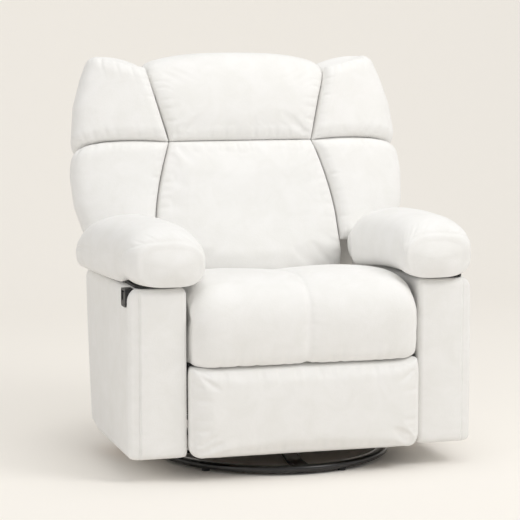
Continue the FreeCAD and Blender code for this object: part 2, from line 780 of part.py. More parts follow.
def arm_block():
    sides = side_slab(arm_profile(0), ARM_IN, ARM_OUT)
    front = [
        (ARM_IN, ARM_BOTTOM_Z, 8),
        (ARM_OUT, ARM_BOTTOM_Z, 12),
        (ARM_OUT, ARM_TOP_Z, 26),
        (ARM_IN, ARM_TOP_Z, 16),
    ]
    plan = [
        (ARM_IN, ARM_FRONT_Y, 14),
        (ARM_OUT, ARM_FRONT_Y, 26),
        (ARM_OUT, ARM_REAR_TOP_Y, 12),
        (ARM_IN, ARM_REAR_TOP_Y, 6),
    ]
    block = sides.common(front_slab(front, ARM_FRONT_Y, ARM_REAR_TOP_Y))
    return block.common(top_slab(plan, ARM_BOTTOM_Z, ARM_TOP_Z))


def arm_cover():
    hollow = side_slab(arm_profile(ARM_PAD), ARM_IN, ARM_OUT - ARM_PAD)
    return arm_block().cut(hollow)


def arm_frame():
    edge = ARM_PAD + CLEAR
    deep = edge + ARM_FRAME_BAND
    board = side_slab(arm_profile(edge), ARM_IN, ARM_IN + ARM_BOARD_T)
    far = ARM_OUT - ARM_PAD - BEZEL_DEPTH
    band = side_slab(arm_profile(edge), ARM_IN + ARM_BOARD_T, far)
    band = band.cut(side_slab(arm_profile(deep), ARM_IN + ARM_BOARD_T, far))
    return board.fuse(band).removeSplitter()


def arm_top_board():
    inset = TOP_BOARD_INSET
    rear = ARM_REAR_TOP_Y - 3 * inset
    outline = [
        (ARM_IN + 2 * inset, ARM_FRONT_Y + inset, 14),
        (ARM_OUT - 3 * inset, ARM_FRONT_Y + inset, 20),
        (ARM_OUT - 3 * inset, rear, 12),
        (ARM_IN + 2 * inset, rear, 12),
    ]
    return top_slab(outline, ARM_TOP_Z, ARM_TOP_Z + TOP_BOARD_T)


def arm_pillow():
    low = ARM_TOP_Z + TOP_BOARD_T + CLEAR
    middle = (ARM_IN + ARM_OUT + PILLOW_OVERHANG_OUT - PILLOW_OVERHANG_IN) / 2
    half = (ARM_WIDTH + PILLOW_OVERHANG_OUT + PILLOW_OVERHANG_IN) / 2
    shoulder = PILLOW_SHOULDER
    crown = PILLOW_CROWN_Z - low - shoulder
    foot = half - PILLOW_TUCK
    across = bowed_wire(
        [
            (middle - foot, low),
            (middle + foot, low),
            (middle + half - PILLOW_BULGE, low + shoulder),
            (middle - half + PILLOW_BULGE, low + shoulder),
        ],
        [0, PILLOW_BULGE, crown, PILLOW_BULGE],
        front_view(PILLOW_FRONT_Y))
    length = PILLOW_REAR_Y - PILLOW_FRONT_Y
    bar = Part.Face(across).extrude(Vec(0, length, 0))
    # Seen from the side it has a full round front, and a tail that runs back under the wing
    droop = PILLOW_CROWN_Z - PILLOW_DROOP
    profile = [
        (PILLOW_FRONT_Y + PILLOW_TUCK / 2, low, 0),
        (PILLOW_FRONT_Y, low + shoulder * 0.75, PILLOW_NOSE_R),
        (PILLOW_FRONT_Y + PILLOW_TUCK / 2, droop, PILLOW_END_R),
        ((PILLOW_FRONT_Y + PILLOW_NECK_Y) / 2, PILLOW_CROWN_Z, length),
        (PILLOW_NECK_Y, droop, PILLOW_END_R),
        (PILLOW_TAIL_Y, low + PILLOW_TAIL_H, PILLOW_NOSE_R),
        (PILLOW_REAR_Y, low + PILLOW_TIP_H, PILLOW_BULGE),
        (PILLOW_REAR_Y, low, 0),
    ]
    ends = side_slab(profile, middle - half, middle + half)
    # Seen from above its corners are round, and it makes room for the lumbar cushion
    clear_x = LUMBAR_HALF_W + PILLOW_BACK_GAP
    clear_y = BACK_FRONT_Y - PILLOW_BACK_GAP
    around = [
        (middle - half, PILLOW_FRONT_Y, PILLOW_CORNER_R),
        (middle + half, PILLOW_FRONT_Y, PILLOW_CORNER_R),
        (middle + half, PILLOW_REAR_Y, PILLOW_NOSE_R),
        (clear_x, PILLOW_REAR_Y, PILLOW_BULGE),
        (clear_x, clear_y, PILLOW_BULGE),
        (middle - half, clear_y, PILLOW_NOSE_R),
    ]
    plan = top_slab(around, low, PILLOW_CROWN_Z)
    return bar.common(ends).common(plan).removeSplitter()


def rear_skirt():
    front = REAR_CHANNEL_Y + CHANNEL_W / 2
    outline = rectangle(-ARM_IN + CLEAR, SKIRT_BOTTOM_Z, ARM_IN - CLEAR, SKIRT_TOP_Z, 6)
    return front_slab(outline, front, front + SKIRT_T)


# Release paddle: a moulded finger lever on a cross pin in its bezel
PADDLE_PIN = (ARM_OUT + BEZEL_PROUD - PADDLE_T * 0.8, ARM_TOP_Z - 2 - BEZEL_WALL - PADDLE_T * 0.9)


def handle_bezel():
    x1 = ARM_OUT + BEZEL_PROUD
    z1 = ARM_TOP_Z - 2
    y0 = BEZEL_FRONT_Y + BEZEL_WALL
    y1 = BEZEL_FRONT_Y + BEZEL_LENGTH - BEZEL_WALL
    recess = side_slab(
        rectangle(y0, z1 - BEZEL_H + BEZEL_WALL, y1, z1 - BEZEL_WALL), x1 - BEZEL_DEPTH + BEZEL_WALL, x1)
    bezel = bezel_block(0).cut(recess)
    return bezel.cut(handle_pin())


def handle_pin():
    start = Vec(PADDLE_PIN[0], BEZEL_FRONT_Y + BEZEL_WALL / 2, PADDLE_PIN[1])
    return Part.makeCylinder(PADDLE_PIN_R, BEZEL_LENGTH - BEZEL_WALL, start, Vec(0, 1, 0))


def release_handle():
    x, z = PADDLE_PIN
    half = PADDLE_T / 2
    bottom = ARM_TOP_Z - 2 - BEZEL_H + BEZEL_WALL + CLEAR
    lip = 3.0
    outline = [
        (x - half, z + half, 3.5),
        (x - half, bottom, 2),
        (x + half + lip, bottom, 2),
        (x + half + lip, bottom + lip, 1),
        (x + half, bottom + 4 * lip, 4),
        (x + half, z + half, 3.5),
    ]
    y0 = BEZEL_FRONT_Y + BEZEL_WALL + CLEAR
    y1 = BEZEL_FRONT_Y + BEZEL_LENGTH - BEZEL_WALL - CLEAR
    paddle = front_slab(outline, y0, y1)
    return paddle.cut(Part.makeCylinder(PADDLE_PIN_R + RUN, y1 - y0, Vec(x, y0, z), Vec(0, 1, 0)))


# Back: leaning frame on two hinge brackets, padded in front by the lumbar, head and wing cushions
BACK_FRONT_LINE = (
    (BACK_BOTTOM_Z, BACK_FRONT_Y),
    (SEAT_TOP_Z, BACK_SEAT_Y),
    (WAIST_Z, BACK_WAIST_Y),
    (NOTCH_Z, BACK_NOTCH_Y),
    (BACK_TOP_Z, BACK_TOP_Y),
)
HALF_WIDTH_LINE = (
    (BACK_BOTTOM_Z, FRAME_HALF_W - 6),
    (LUMBAR_NECK_Z, FRAME_HALF_W - 6),
    (LUMBAR_NECK_Z + 30, LUMBAR_HALF_W),
    (LUMBAR_FLARE_Z, LUMBAR_HALF_W),
    (WAIST_Z, WAIST_HALF_W),
    (NOTCH_Z, NOTCH_HALF_W),
    (NOTCH_Z + (BACK_TOP_Z - NOTCH_Z) * 0.4, NOTCH_HALF_W - 14),
    (NOTCH_Z + (BACK_TOP_Z - NOTCH_Z) * 0.8, NOTCH_HALF_W - 56),
    (BACK_TOP_Z, NOTCH_HALF_W * 0.44),
)
WING_EDGE_LINE = (
    (WING_BOTTOM_Z, WING_BOTTOM_HALF_W),
    (WING_SEAM_Z, WING_HALF_W),
    (WING_TOP_Z, WING_TOP_HALF_W),
)


def frame_front(z):
    return FRAME_FOOT_Y + FRAME_SLOPE * (z - BACK_BOTTOM_Z)


def front_y(z):
    return blend_along(BACK_FRONT_LINE, z)


def half_width(z):
    return blend_along(HALF_WIDTH_LINE, z)


def panel_section(z, crown, wrap):
    # Middle cushion section: crowned front, straight sides, flat rear; wrap carries it over the frame
    half = half_width(z)
    front = front_y(z)
    rear = frame_front(z) - CLEAR + wrap
    corners = [(-half, front), (half, front), (half, rear), (-half, rear)]
    return bowed_wire(corners, [CROWN * crown, 0, 0, 0], top_view(z))


def lumbar_cushion():
    steps = (
        (BACK_BOTTOM_Z, 0.2), (BACK_BOTTOM_Z + 16, 0.7), (LUMBAR_NECK_Z, 1.0), (LUMBAR_NECK_Z + 30, 1.0),
        (LUMBAR_FLARE_Z, 1.0), ((LUMBAR_FLARE_Z + WAIST_Z) / 2, 1.0), (WAIST_Z - 24, 0.7),
        (WAIST_Z - 1, 0.15))
    return soft_loft([panel_section(z, crown, 0) for z, crown in steps])


def head_cushion():
    # The pad in front of the frame, and a cap over the frame's top edge that rises to the arch
    pad_steps = (
        (WAIST_Z + 1, 0.15), (WAIST_Z + 24, 0.75), ((WAIST_Z + FRAME_TOP_Z) / 2, 1.0),
        (FRAME_TOP_Z + CLEAR, 0.95))
    pad = soft_loft([panel_section(z, crown, 0) for z, crown in pad_steps])
    arch = BACK_TOP_Z - NOTCH_Z
    over = FRAME_T + OUTER_PAD / 2
    cap_steps = (
        (FRAME_TOP_Z + CLEAR, 0.95), (NOTCH_Z, 0.8), (NOTCH_Z + arch * 0.4, 0.65),
        (NOTCH_Z + arch * 0.8, 0.4), (BACK_TOP_Z, 0.1))
    cap = soft_loft([panel_section(z, crown, over) for z, crown in cap_steps])
    return pad.fuse(cap).removeSplitter()


def wing(outline, z0, z1):
    # Front outline, side profile and a leaning plan with a rounded outer edge; the frame's place is left free
    depth = FRAME_T + OUTER_PAD
    front = front_slab(outline, 0, 2 * BACK_REAR_Y)
    profile = [(front_y(z) + WING_SETBACK, z, WING_SOFT) for z in (z0, z1)]
    profile += [(frame_front(z) + depth, z, WING_SOFT) for z in (z1, z0)]
    side = side_slab(profile, 0, WING_HALF_W + WING_BOTTOM_HALF_W)
    edge0 = blend_along(WING_EDGE_LINE, z0)
    lean = Vec(blend_along(WING_EDGE_LINE, z1) - edge0, front_y(z1) - front_y(z0), z1 - z0)
    corners = [
        (0, front_y(z0), 0),
        (edge0, front_y(z0) + WING_SWEEP, WING_ROUND),
        (edge0 - WING_TAPER, frame_front(z0) + depth, WING_ROUND / 2),
        (0, frame_front(z0) + depth, 0),
    ]
    plan = rounded_face(corners, top_view(z0)).extrude(lean)
    place = [(frame_front(z) - CLEAR, z, 0) for z in (z0 - depth, z1 + depth)]
    place += [(frame_front(z) + 2 * depth, z, 0) for z in (z1 + depth, z0 - depth)]
    inside = side_slab(place, 0, FRAME_HALF_W + WING_HUG)
    return front.common(side).common(plan).cut(inside).removeSplitter()


def lower_wing():
    z0 = WING_BOTTOM_Z
    z1 = WING_SEAM_Z - WING_JOIN
    outline = [
        (LUMBAR_HALF_W + WING_JOIN, z0, 0),
        (blend_along(WING_EDGE_LINE, z0) - WING_TRIM, z0, WING_CORNER_R),
        (blend_along(WING_EDGE_LINE, z1) - WING_TRIM, z1, WING_SOFT),
        (half_width(z1) + WING_JOIN, z1, 0),
        (LUMBAR_HALF_W + WING_JOIN, LUMBAR_FLARE_Z, 0),
    ]
    return wing(outline, z0, z1)


def upper_wing():
    z0 = WING_SEAM_Z
    z1 = WING_TOP_Z
    outline = [
        (half_width(z0) + WING_JOIN, z0, 0),
        (blend_along(WING_EDGE_LINE, z0) - WING_TRIM, z0, WING_SOFT),
        (blend_along(WING_EDGE_LINE, z1) - WING_TRIM, z1, WING_CORNER_R),
        (NOTCH_HALF_W + WING_JOIN, NOTCH_Z, 0),
        (WAIST_HALF_W + WING_JOIN, WAIST_Z, 0),
    ]
    return wing(outline, z0, z1)


def leaning_slab(points, depth0, depth1):
    # A slab in the plane of the leaning frame: points are (x, z, radius), depth runs back along y
    face = rounded_face(points, lambda u, w: Vec(u, frame_front(w) + depth0, w))
    return face.extrude(Vec(0, depth1 - depth0, 0))


def back_frame():
    half = FRAME_HALF_W
    rail = FRAME_RAIL
    low = BACK_BOTTOM_Z + 12
    frame = leaning_slab(rectangle(-half, low, half, FRAME_TOP_Z, 14), 0, FRAME_T)
    lower = rectangle(-half + rail, low + rail, half - rail, WAIST_Z - rail / 2, 10)
    upper = rectangle(-half + rail, WAIST_Z + rail / 2, half - rail, FRAME_TOP_Z - rail, 10)
    return frame.cut(leaning_slab(lower, 0, FRAME_T)).cut(leaning_slab(upper, 0, FRAME_T))


def back_webbing():
    low = BACK_BOTTOM_Z + 12 + FRAME_RAIL
    pitch = (WAIST_Z - FRAME_RAIL / 2 - low) / BACK_WEB_COUNT
    half = FRAME_HALF_W - FRAME_RAIL
    straps = []
    for i in range(BACK_WEB_COUNT):
        middle = low + pitch * (i + 0.5)
        outline = rectangle(-half, middle - WEB_W / 2, half, middle + WEB_W / 2)
        straps.append(leaning_slab(outline, FRAME_T / 2 - WEB_T / 2, FRAME_T / 2 + WEB_T / 2))
    return straps


def back_bracket():
    # Hinge plate from the recline pivot up the side of the frame, with the hinge pin in it
    x0 = FRAME_HALF_W
    x1 = PLATE_X - LINK_GAP
    foot = BACK_BOTTOM_Z + BRACKET_FOOT
    head = LUMBAR_NECK_Z + FRAME_RAIL
    nose = LINK_R + 4
    outline = [
        (RECLINE_PIVOT[0] - nose, RECLINE_PIVOT[1] + nose * 0.6, 12),
        (RECLINE_PIVOT[0] - nose * 0.4, RECLINE_PIVOT[1] - nose, 12),
        (frame_front(foot - BRACKET_HEEL) + FRAME_T - 4, foot - BRACKET_HEEL, 20),
        (frame_front(head) + FRAME_T - 4, head, 6),
        (frame_front(head) + 4, head, 6),
        (frame_front(foot), foot + 10, 24),
    ]
    pin = rod_x(RECLINE_PIVOT, TUBE_STUB_R, x1, PLATE_X + LINK_T)
    return side_slab(outline, x0, x1).fuse(pin).removeSplitter()


def back_outer_panel():
    # Padded outside back: flat against the frame, bowed behind, drawn in at its ends
    rise = FRAME_TOP_Z - OUTER_BOTTOM_Z
    steps = ((0.0, 0.25), (0.05, 0.75), (0.4, 1.0), (0.8, 1.0), (0.96, 0.75), (1.0, 0.3))
    wires = []
    for share, swell in steps:
        z = OUTER_BOTTOM_Z + rise * share
        near = frame_front(z) + FRAME_T + CLEAR
        far = near + OUTER_PAD * swell
        half = OUTER_HALF_W - 8 * (1 - swell)
        corners = [(-half, near), (half, near), (half, far), (-half, far)]
        wires.append(bowed_wire(corners, [0, 0, OUTER_CROWN * swell, 0], top_view(z)))
    return soft_loft(wires)


def main():
    os.makedirs("parts", exist_ok=True)
    save("base_ring", base_ring())
    save("base_spokes", *base_spokes())
    save("floor_glides", *floor_glides())
    save("lower_swivel_plate", lower_swivel_plate())
    save("swivel_race", swivel_race())
    save("swivel_kingpin", swivel_kingpin())
    save("upper_swivel_plate", upper_swivel_plate())
    save_pair("rocker_rail", rocker_rail())
    save("lower_spring_seats", *lower_spring_seats())
    save("rocker_springs", *rocker_springs())
    save("upper_spring_seats", *upper_spring_seats())
    save_pair("rocker_cam", rocker_cam())
    save("front_channel", chassis_channel(FRONT_CHANNEL_Y))
    save("rear_channel", chassis_channel(REAR_CHANNEL_Y))
    save("chassis_bolts", *chassis_bolts())
    save_pair("side_plate", side_plate())
    save("seat_frame", seat_frame())
    save("seat_webbing", *seat_webbing())
    save("seat_cushion", seat_cushion())
    save_pair("arm_frame", arm_frame())
    save("arm_cover_left", arm_cover())
    save("arm_cover_right", mirrored(arm_cover().cut(bezel_block(CLEAR))))
    save_pair("arm_top_board", arm_top_board())
    save_pair("arm_pillow", arm_pillow())
    save("rear_skirt", rear_skirt())
    save("handle_bezel", mirrored(handle_bezel()))
    save("handle_pin", mirrored(handle_pin()))
    save("release_handle", mirrored(release_handle()))
    save("drive_tube", drive_tube())
    save_pair("main_link", main_link())
    save_pair("control_link", control_link())
    save_pair("front_link", front_link())
    save_pair("stay_link", stay_link())
    save_pair("footrest_bracket", footrest_bracket())
    save("footrest_board", footrest_board())
    save("footrest_cushion", footrest_cushion())
    save_pair("back_bracket", back_bracket())
    save("back_frame", back_frame())
    save("back_webbing", *back_webbing())
    save("lumbar_cushion", lumbar_cushion())
    save("head_cushion", head_cushion())
    save_pair("lower_wing", lower_wing())
    save_pair("upper_wing", upper_wing())
    save("back_outer_panel", back_outer_panel())


main()
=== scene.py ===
import bpy
import bmesh
import json
import numpy as np
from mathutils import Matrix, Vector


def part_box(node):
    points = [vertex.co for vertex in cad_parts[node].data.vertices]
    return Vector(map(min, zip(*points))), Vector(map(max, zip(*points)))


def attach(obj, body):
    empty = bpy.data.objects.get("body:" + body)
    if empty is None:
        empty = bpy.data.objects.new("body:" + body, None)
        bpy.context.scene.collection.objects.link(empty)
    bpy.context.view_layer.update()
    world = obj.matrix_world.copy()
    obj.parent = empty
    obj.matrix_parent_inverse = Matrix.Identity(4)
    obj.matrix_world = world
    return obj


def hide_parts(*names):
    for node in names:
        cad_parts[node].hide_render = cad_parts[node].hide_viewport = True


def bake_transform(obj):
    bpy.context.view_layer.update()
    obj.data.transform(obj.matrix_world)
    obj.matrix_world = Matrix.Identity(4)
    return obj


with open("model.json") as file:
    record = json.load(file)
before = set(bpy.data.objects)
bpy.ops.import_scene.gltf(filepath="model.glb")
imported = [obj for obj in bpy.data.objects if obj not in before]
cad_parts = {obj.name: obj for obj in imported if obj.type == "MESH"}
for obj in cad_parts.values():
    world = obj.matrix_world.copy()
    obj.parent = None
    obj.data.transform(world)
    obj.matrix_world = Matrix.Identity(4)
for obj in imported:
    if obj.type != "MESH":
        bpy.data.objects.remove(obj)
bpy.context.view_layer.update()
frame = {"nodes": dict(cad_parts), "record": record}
ringLow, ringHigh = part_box("base_ring")
axisY = (ringLow.y + ringHigh.y) / 2  # the swivel axis; pieces below are drawn in mm from it, front is -y
print("frame loaded, swivel axis at", round(axisY, 4))


# Camera: long lens in front of the chair, a little to its right and above
cameraSet = {"azimuth": -16.4, "elevation": 6.6, "distance": 5.2, "lens": 140.8, "sensor": 36.0, "aim": 0.5,
             "shiftX": -0.022, "shiftY": -0.003, "far": 60.0}


def makeCamera(s):
    a, e = np.radians(s["azimuth"]), np.radians(s["elevation"])
    away = np.array([np.sin(a) * np.cos(e), -np.cos(a) * np.cos(e), np.sin(e)])
    data = bpy.data.cameras.new("camera")
    data.lens = s["lens"]
    data.sensor_width = s["sensor"]
    data.shift_x = s["shiftX"]
    data.shift_y = s["shiftY"]
    data.clip_end = s["far"]
    camera = bpy.data.objects.new("camera", data)
    bpy.context.scene.collection.objects.link(camera)
    camera.location = np.array([0, axisY, s["aim"]]) + away * s["distance"]
    camera.rotation_euler = (np.pi / 2 - e, 0, a)
    bpy.context.scene.camera = camera


makeCamera(cameraSet)


# Materials

def toLinear(code):
    # sRGB hex to linear: the usual curve, per channel
    c = np.array([int(code[i:i + 2], 16) for i in (1, 3, 5)]) / 255
    c = np.where(c <= 0.04045, c / 12.92, ((c + 0.055) / 1.055) ** 2.4)
    return (*c.tolist(), 1.0)


def addNode(tree, kind, links=(), inputs=(), **settings):
    # one node: its settings, its fixed inputs and what feeds it
    node = tree.nodes.new(kind)
    for key, value in settings.items():
        setattr(node, key, value)
    for key, value in dict(inputs).items():
        node.inputs[key].default_value = value
    for key, source in dict(links).items():
        tree.links.new(source, node.inputs[key])
    return node


def perMetre(millimetres):
    # a pattern's scale: how many fit in a metre
    return 1000.0 / millimetres


def newMaterial(name, **sockets):
    material = bpy.data.materials.new(name)
    material.use_nodes = True
    shader = material.node_tree.nodes["Principled BSDF"]
    for key, value in sockets.items():
        shader.inputs[key.replace("_", " ")].default_value = value
    return material, material.node_tree, shader


def twoTone(tree, shader, fac, first, second, low=0.35, high=0.65):
    ramp = addNode(tree, "ShaderNodeValToRGB", {"Fac": fac})
    ramp.color_ramp.elements[0].position = low
    ramp.color_ramp.elements[0].color = toLinear(first)
    ramp.color_ramp.elements[1].position = high
    ramp.color_ramp.elements[1].color = toLinear(second)
    tree.links.new(ramp.outputs["Color"], shader.inputs["Base Color"])


def ownSpace(tree):
    return addNode(tree, "ShaderNodeTexCoord").outputs["Object"]


def roughen(tree, shader, height, strength, distance):
    bump = addNode(tree, "ShaderNodeBump", {"Height": height}, {"Strength": strength, "Distance": distance})
    tree.links.new(bump.outputs["Normal"], shader.inputs["Normal"])


velvetSet = {"light": "#f3f2f0", "shade": "#efeeeb", "mottle": 60.0, "fibre": 2.2, "weave": 5.0, "bump": 0.16}


# Brushed polyester velvet: short pile gives a dull face, a soft pale rim and faint brushed patches
def velvet(s):
    material, tree, shader = newMaterial("brushed_velvet", Roughness=0.92, Sheen_Weight=0.22, Sheen_Roughness=0.45,
                                         Specular_IOR_Level=0.18)
    where = ownSpace(tree)
    patches = addNode(tree, "ShaderNodeTexNoise", {"Vector": where},
                      {"Scale": perMetre(s["mottle"]), "Detail": 5.0, "Roughness": 0.6, "Distortion": 0.6})
    twoTone(tree, shader, patches.outputs["Fac"], s["shade"], s["light"])
    # real pile is about 0.3 mm; drawn coarser so that it shows
    pile = addNode(tree, "ShaderNodeTexNoise", {"Vector": where}, {"Scale": perMetre(s["fibre"]), "Detail": 3.0})
    nap = addNode(tree, "ShaderNodeTexNoise", {"Vector": where}, {"Scale": perMetre(s["weave"]), "Detail": 2.0})
    both = addNode(tree, "ShaderNodeMath", {0: pile.outputs["Fac"], 1: nap.outputs["Fac"]}, operation="ADD")
    roughen(tree, shader, both.outputs["Value"], s["bump"], 0.0012)
    return material


# Powder-coated steel bar: deep black, glossy, with the coat's faint orange peel
def blackPaint():
    material, tree, shader = newMaterial("powder_coated_steel", Roughness=0.28, Coat_Weight=0.35, Coat_Roughness=0.12)
    where = ownSpace(tree)
    tone = addNode(tree, "ShaderNodeTexNoise", {"Vector": where}, {"Scale": perMetre(40.0), "Detail": 3.0})
    twoTone(tree, shader, tone.outputs["Fac"], "#0c0c0d", "#161617")
    peel = addNode(tree, "ShaderNodeTexNoise", {"Vector": where}, {"Scale": perMetre(1.6), "Detail": 1.0})
    roughen(tree, shader, peel.outputs["Fac"], 0.05, 0.0004)
    return material


# Plated or oiled steel: grey metal, slightly uneven in tone, with fine scuffs
def zincSteel(name, dark, light, rough):
    material, tree, shader = newMaterial(name, Metallic=1.0, Roughness=rough)
    where = ownSpace(tree)
    spangle = addNode(tree, "ShaderNodeTexNoise", {"Vector": where}, {"Scale": perMetre(9.0), "Detail": 4.0})
    twoTone(tree, shader, spangle.outputs["Fac"], dark, light)
    scuff = addNode(tree, "ShaderNodeTexNoise", {"Vector": where}, {"Scale": perMetre(3.0), "Detail": 4.0})
    roughen(tree, shader, scuff.outputs["Fac"], 0.08, 0.0003)
    return material


# Moulded nylon: near black, with the fine sparked grain of its mould
def nylon():
    material, tree, shader = newMaterial("moulded_nylon", Roughness=0.42)
    where = ownSpace(tree)
    grain = addNode(tree, "ShaderNodeTexNoise", {"Vector": where}, {"Scale": perMetre(0.9), "Detail": 2.0})
    twoTone(tree, shader, grain.outputs["Fac"], "#101011", "#1b1b1d")
    roughen(tree, shader, grain.outputs["Fac"], 0.12, 0.0004)
    return material


# Sawn beech, or the same board made black as painted shade for the dark gap under the arm pillows: long grain lines
# with short flecks
def board(name, dark, light, rough):
    material, tree, shader = newMaterial(name, Roughness=rough)
    where = ownSpace(tree)
    stretch = addNode(tree, "ShaderNodeMapping", {"Vector": where})
    stretch.inputs["Scale"].default_value = (1.0, 12.0, 12.0)
    grain = addNode(tree, "ShaderNodeTexNoise", {"Vector": stretch.outputs["Vector"]},
                    {"Scale": perMetre(70.0), "Detail": 6.0, "Roughness": 0.65})
    twoTone(tree, shader, grain.outputs["Fac"], dark, light)
    roughen(tree, shader, grain.outputs["Fac"], 0.15, 0.0006)
    return material


# Woven elastic webbing: dark ribs across the strap
def webbing():
    material, tree, shader = newMaterial("woven_webbing", Roughness=0.9)
    where = ownSpace(tree)
    ribs = addNode(tree, "ShaderNodeTexWave", {"Vector": where}, {"Scale": perMetre(6.0) / 6.3, "Distortion": 0.5})
    twoTone(tree, shader, ribs.outputs["Fac"], "#232325", "#3a3a3d", 0.2, 0.8)
    roughen(tree, shader, ribs.outputs["Fac"], 0.3, 0.0008)
    return material


materialOf = {
    "upholstery": velvet(velvetSet),
    "black_steel": blackPaint(),
    "zinc_steel": zincSteel("zinc_plated_steel", "#8f9194", "#b8babd", 0.38),
    "spring_steel": zincSteel("oiled_spring_steel", "#3c3d40", "#5b5d61", 0.34),
    "nylon": nylon(),
    "hardwood": board("sawn_beech", "#a07a4c", "#c49d6a", 0.72),
    # the arm top boards are black as painted shade: the black stands in for the shaded gap under the arm pillows
    "black_board": board("gap_shade_black_board", "#0d0d0d", "#171716", 0.6),
    "webbing": webbing(),
}
slotOf = {row["node"]: row["material_slot"] for row in frame["record"]["subparts"]}
for nodeName, node in frame["nodes"].items():
    node.data.materials.clear()
    node.data.materials.append(materialOf[slotOf[nodeName]])
print("materials made:", len(materialOf))


# Shape tools. Grids are arrays (across, along, 3) in mm

def rise(distance, radius):
    # quarter circle: 0 at a seam, 1 at one radius from it
    t = np.clip(distance / radius, 0, 1)
    return np.sqrt(1 - (1 - t) ** 2)


def smooth(t):
    # soft step from 0 to 1
    t = np.clip(t, 0, 1)
    return t * t * (3 - 2 * t)


def edgeDistances(grid):
    # length along the surface from each of the four edges
    def along(axis):
        step = np.linalg.norm(np.diff(grid, axis=axis), axis=2)
        pad = [(0, 0), (0, 0)]
        pad[axis] = (1, 0)
        return np.cumsum(np.pad(step, pad), axis=axis)
    across, up = along(0), along(1)
    return across, across[-1:] - across, up, up[:, -1:] - up


def normals(grid, toward):
    # cross product of the grid's two directions, turned towards a given direction
    n = np.cross(np.gradient(grid, axis=0), np.gradient(grid, axis=1))
    n /= np.maximum(np.linalg.norm(n, axis=2, keepdims=True), 1e-9)
    return n * np.sign(np.sum(n.mean((0, 1)) * np.array(toward)))


def gathers(along, seed, period):
    # sewn gathers: a sum of seven waves of nearly the same period, only their crests kept
    rng = np.random.default_rng(seed)
    lengths = period * (0.6 + 1.1 * rng.random(7))
    phases = 2 * np.pi * rng.random(7)
    wave = np.sin(2 * np.pi * along[..., None] / lengths + phases).sum(-1) / 2.6
    return np.clip(wave, 0, None)


def pucker(distance, along, seed, period, reach, depth):
    # short folds that start at a seam, are deepest near it and fade out;
    # each piece keeps seed, period, reach and depth as a row
    t = distance / reach
    return depth * gathers(along, seed, period) * (t * np.exp(1 - t)) ** 2


def roundedPath(points, passes=4):
    # corner cutting: each pass puts two points at a quarter and three quarters of every run
    path = np.array(points, float)
    for _ in range(passes):
        inner = np.stack([0.75 * path[:-1] + 0.25 * path[1:], 0.25 * path[:-1] + 0.75 * path[1:]], 1)
        path = np.concatenate([path[:1], inner.reshape(-1, path.shape[1]), path[-1:]])
    return path


def evenly(path, count):
    # the same path with points at even lengths
    length = np.concatenate([[0], np.cumsum(np.linalg.norm(np.diff(path, axis=0), axis=1))])
    at = np.linspace(0, length[-1], count)
    return np.stack([np.interp(at, length, path[:, i]) for i in range(path.shape[1])], 1)


def boxSkin(front, back, layers, bulge=None):
    # closed skin of a six-sided body: layers blend front into back, and the sides may bulge
    w = np.linspace(0, 1, layers + 1)[:, None]
    solid = front[:, :, None] * (1 - w) + back[:, :, None] * w
    if bulge is not None:
        solid = solid + bulge[:, :, None] * (4 * w * (1 - w))
    shell = np.ones(solid.shape[:3], bool)
    shell[1:-1, 1:-1, 1:-1] = False
    ids = np.cumsum(shell.ravel()).reshape(shell.shape) - 1

    def quads(i):
        return np.stack([i[:-1, :-1], i[1:, :-1], i[1:, 1:], i[:-1, 1:]], -1).reshape(-1, 4)
    sides = [ids[:, :, 0], ids[:, :, -1], ids[0], ids[-1], ids[:, 0], ids[:, -1]]
    return solid[shell], np.concatenate([quads(i) for i in sides])


def makePiece(name, points, faces, slot, body, nodes, mirror=False, levels=0):
    # mm from the swivel axis become metres in the row frame; faces are turned outwards
    p = np.array(points, float)
    if mirror:
        p[:, 0] *= -1
    p = p / 1000 + np.array([0, axisY, 0])
    mesh = bpy.data.meshes.new(name)
    mesh.from_pydata(p.tolist(), [], [list(f) for f in faces])
    work = bmesh.new()
    work.from_mesh(mesh)
    bmesh.ops.remove_doubles(work, verts=work.verts, dist=1e-6)
    bmesh.ops.recalc_face_normals(work, faces=work.faces)
    work.to_mesh(mesh)
    work.free()
    mesh.polygons.foreach_set("use_smooth", np.ones(len(mesh.polygons), bool))
    mesh.materials.append(materialOf[slot])
    piece = bpy.data.objects.new(name, mesh)
    bpy.context.scene.collection.objects.link(piece)
    if levels:
        finer = piece.modifiers.new("finer", "SUBSURF")
        finer.levels = finer.render_levels = levels
    if body:
        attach(piece, body)
    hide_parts(*nodes)
    return piece


def makePair(name, node, points, faces, body, levels=0):
    # the same cover for both sides, mirrored for the right
    for side in ("Left", "Right"):
        makePiece(name + side, points, faces, "upholstery", body, [node + "_" + side.lower()],
                  mirror=side == "Right", levels=levels)


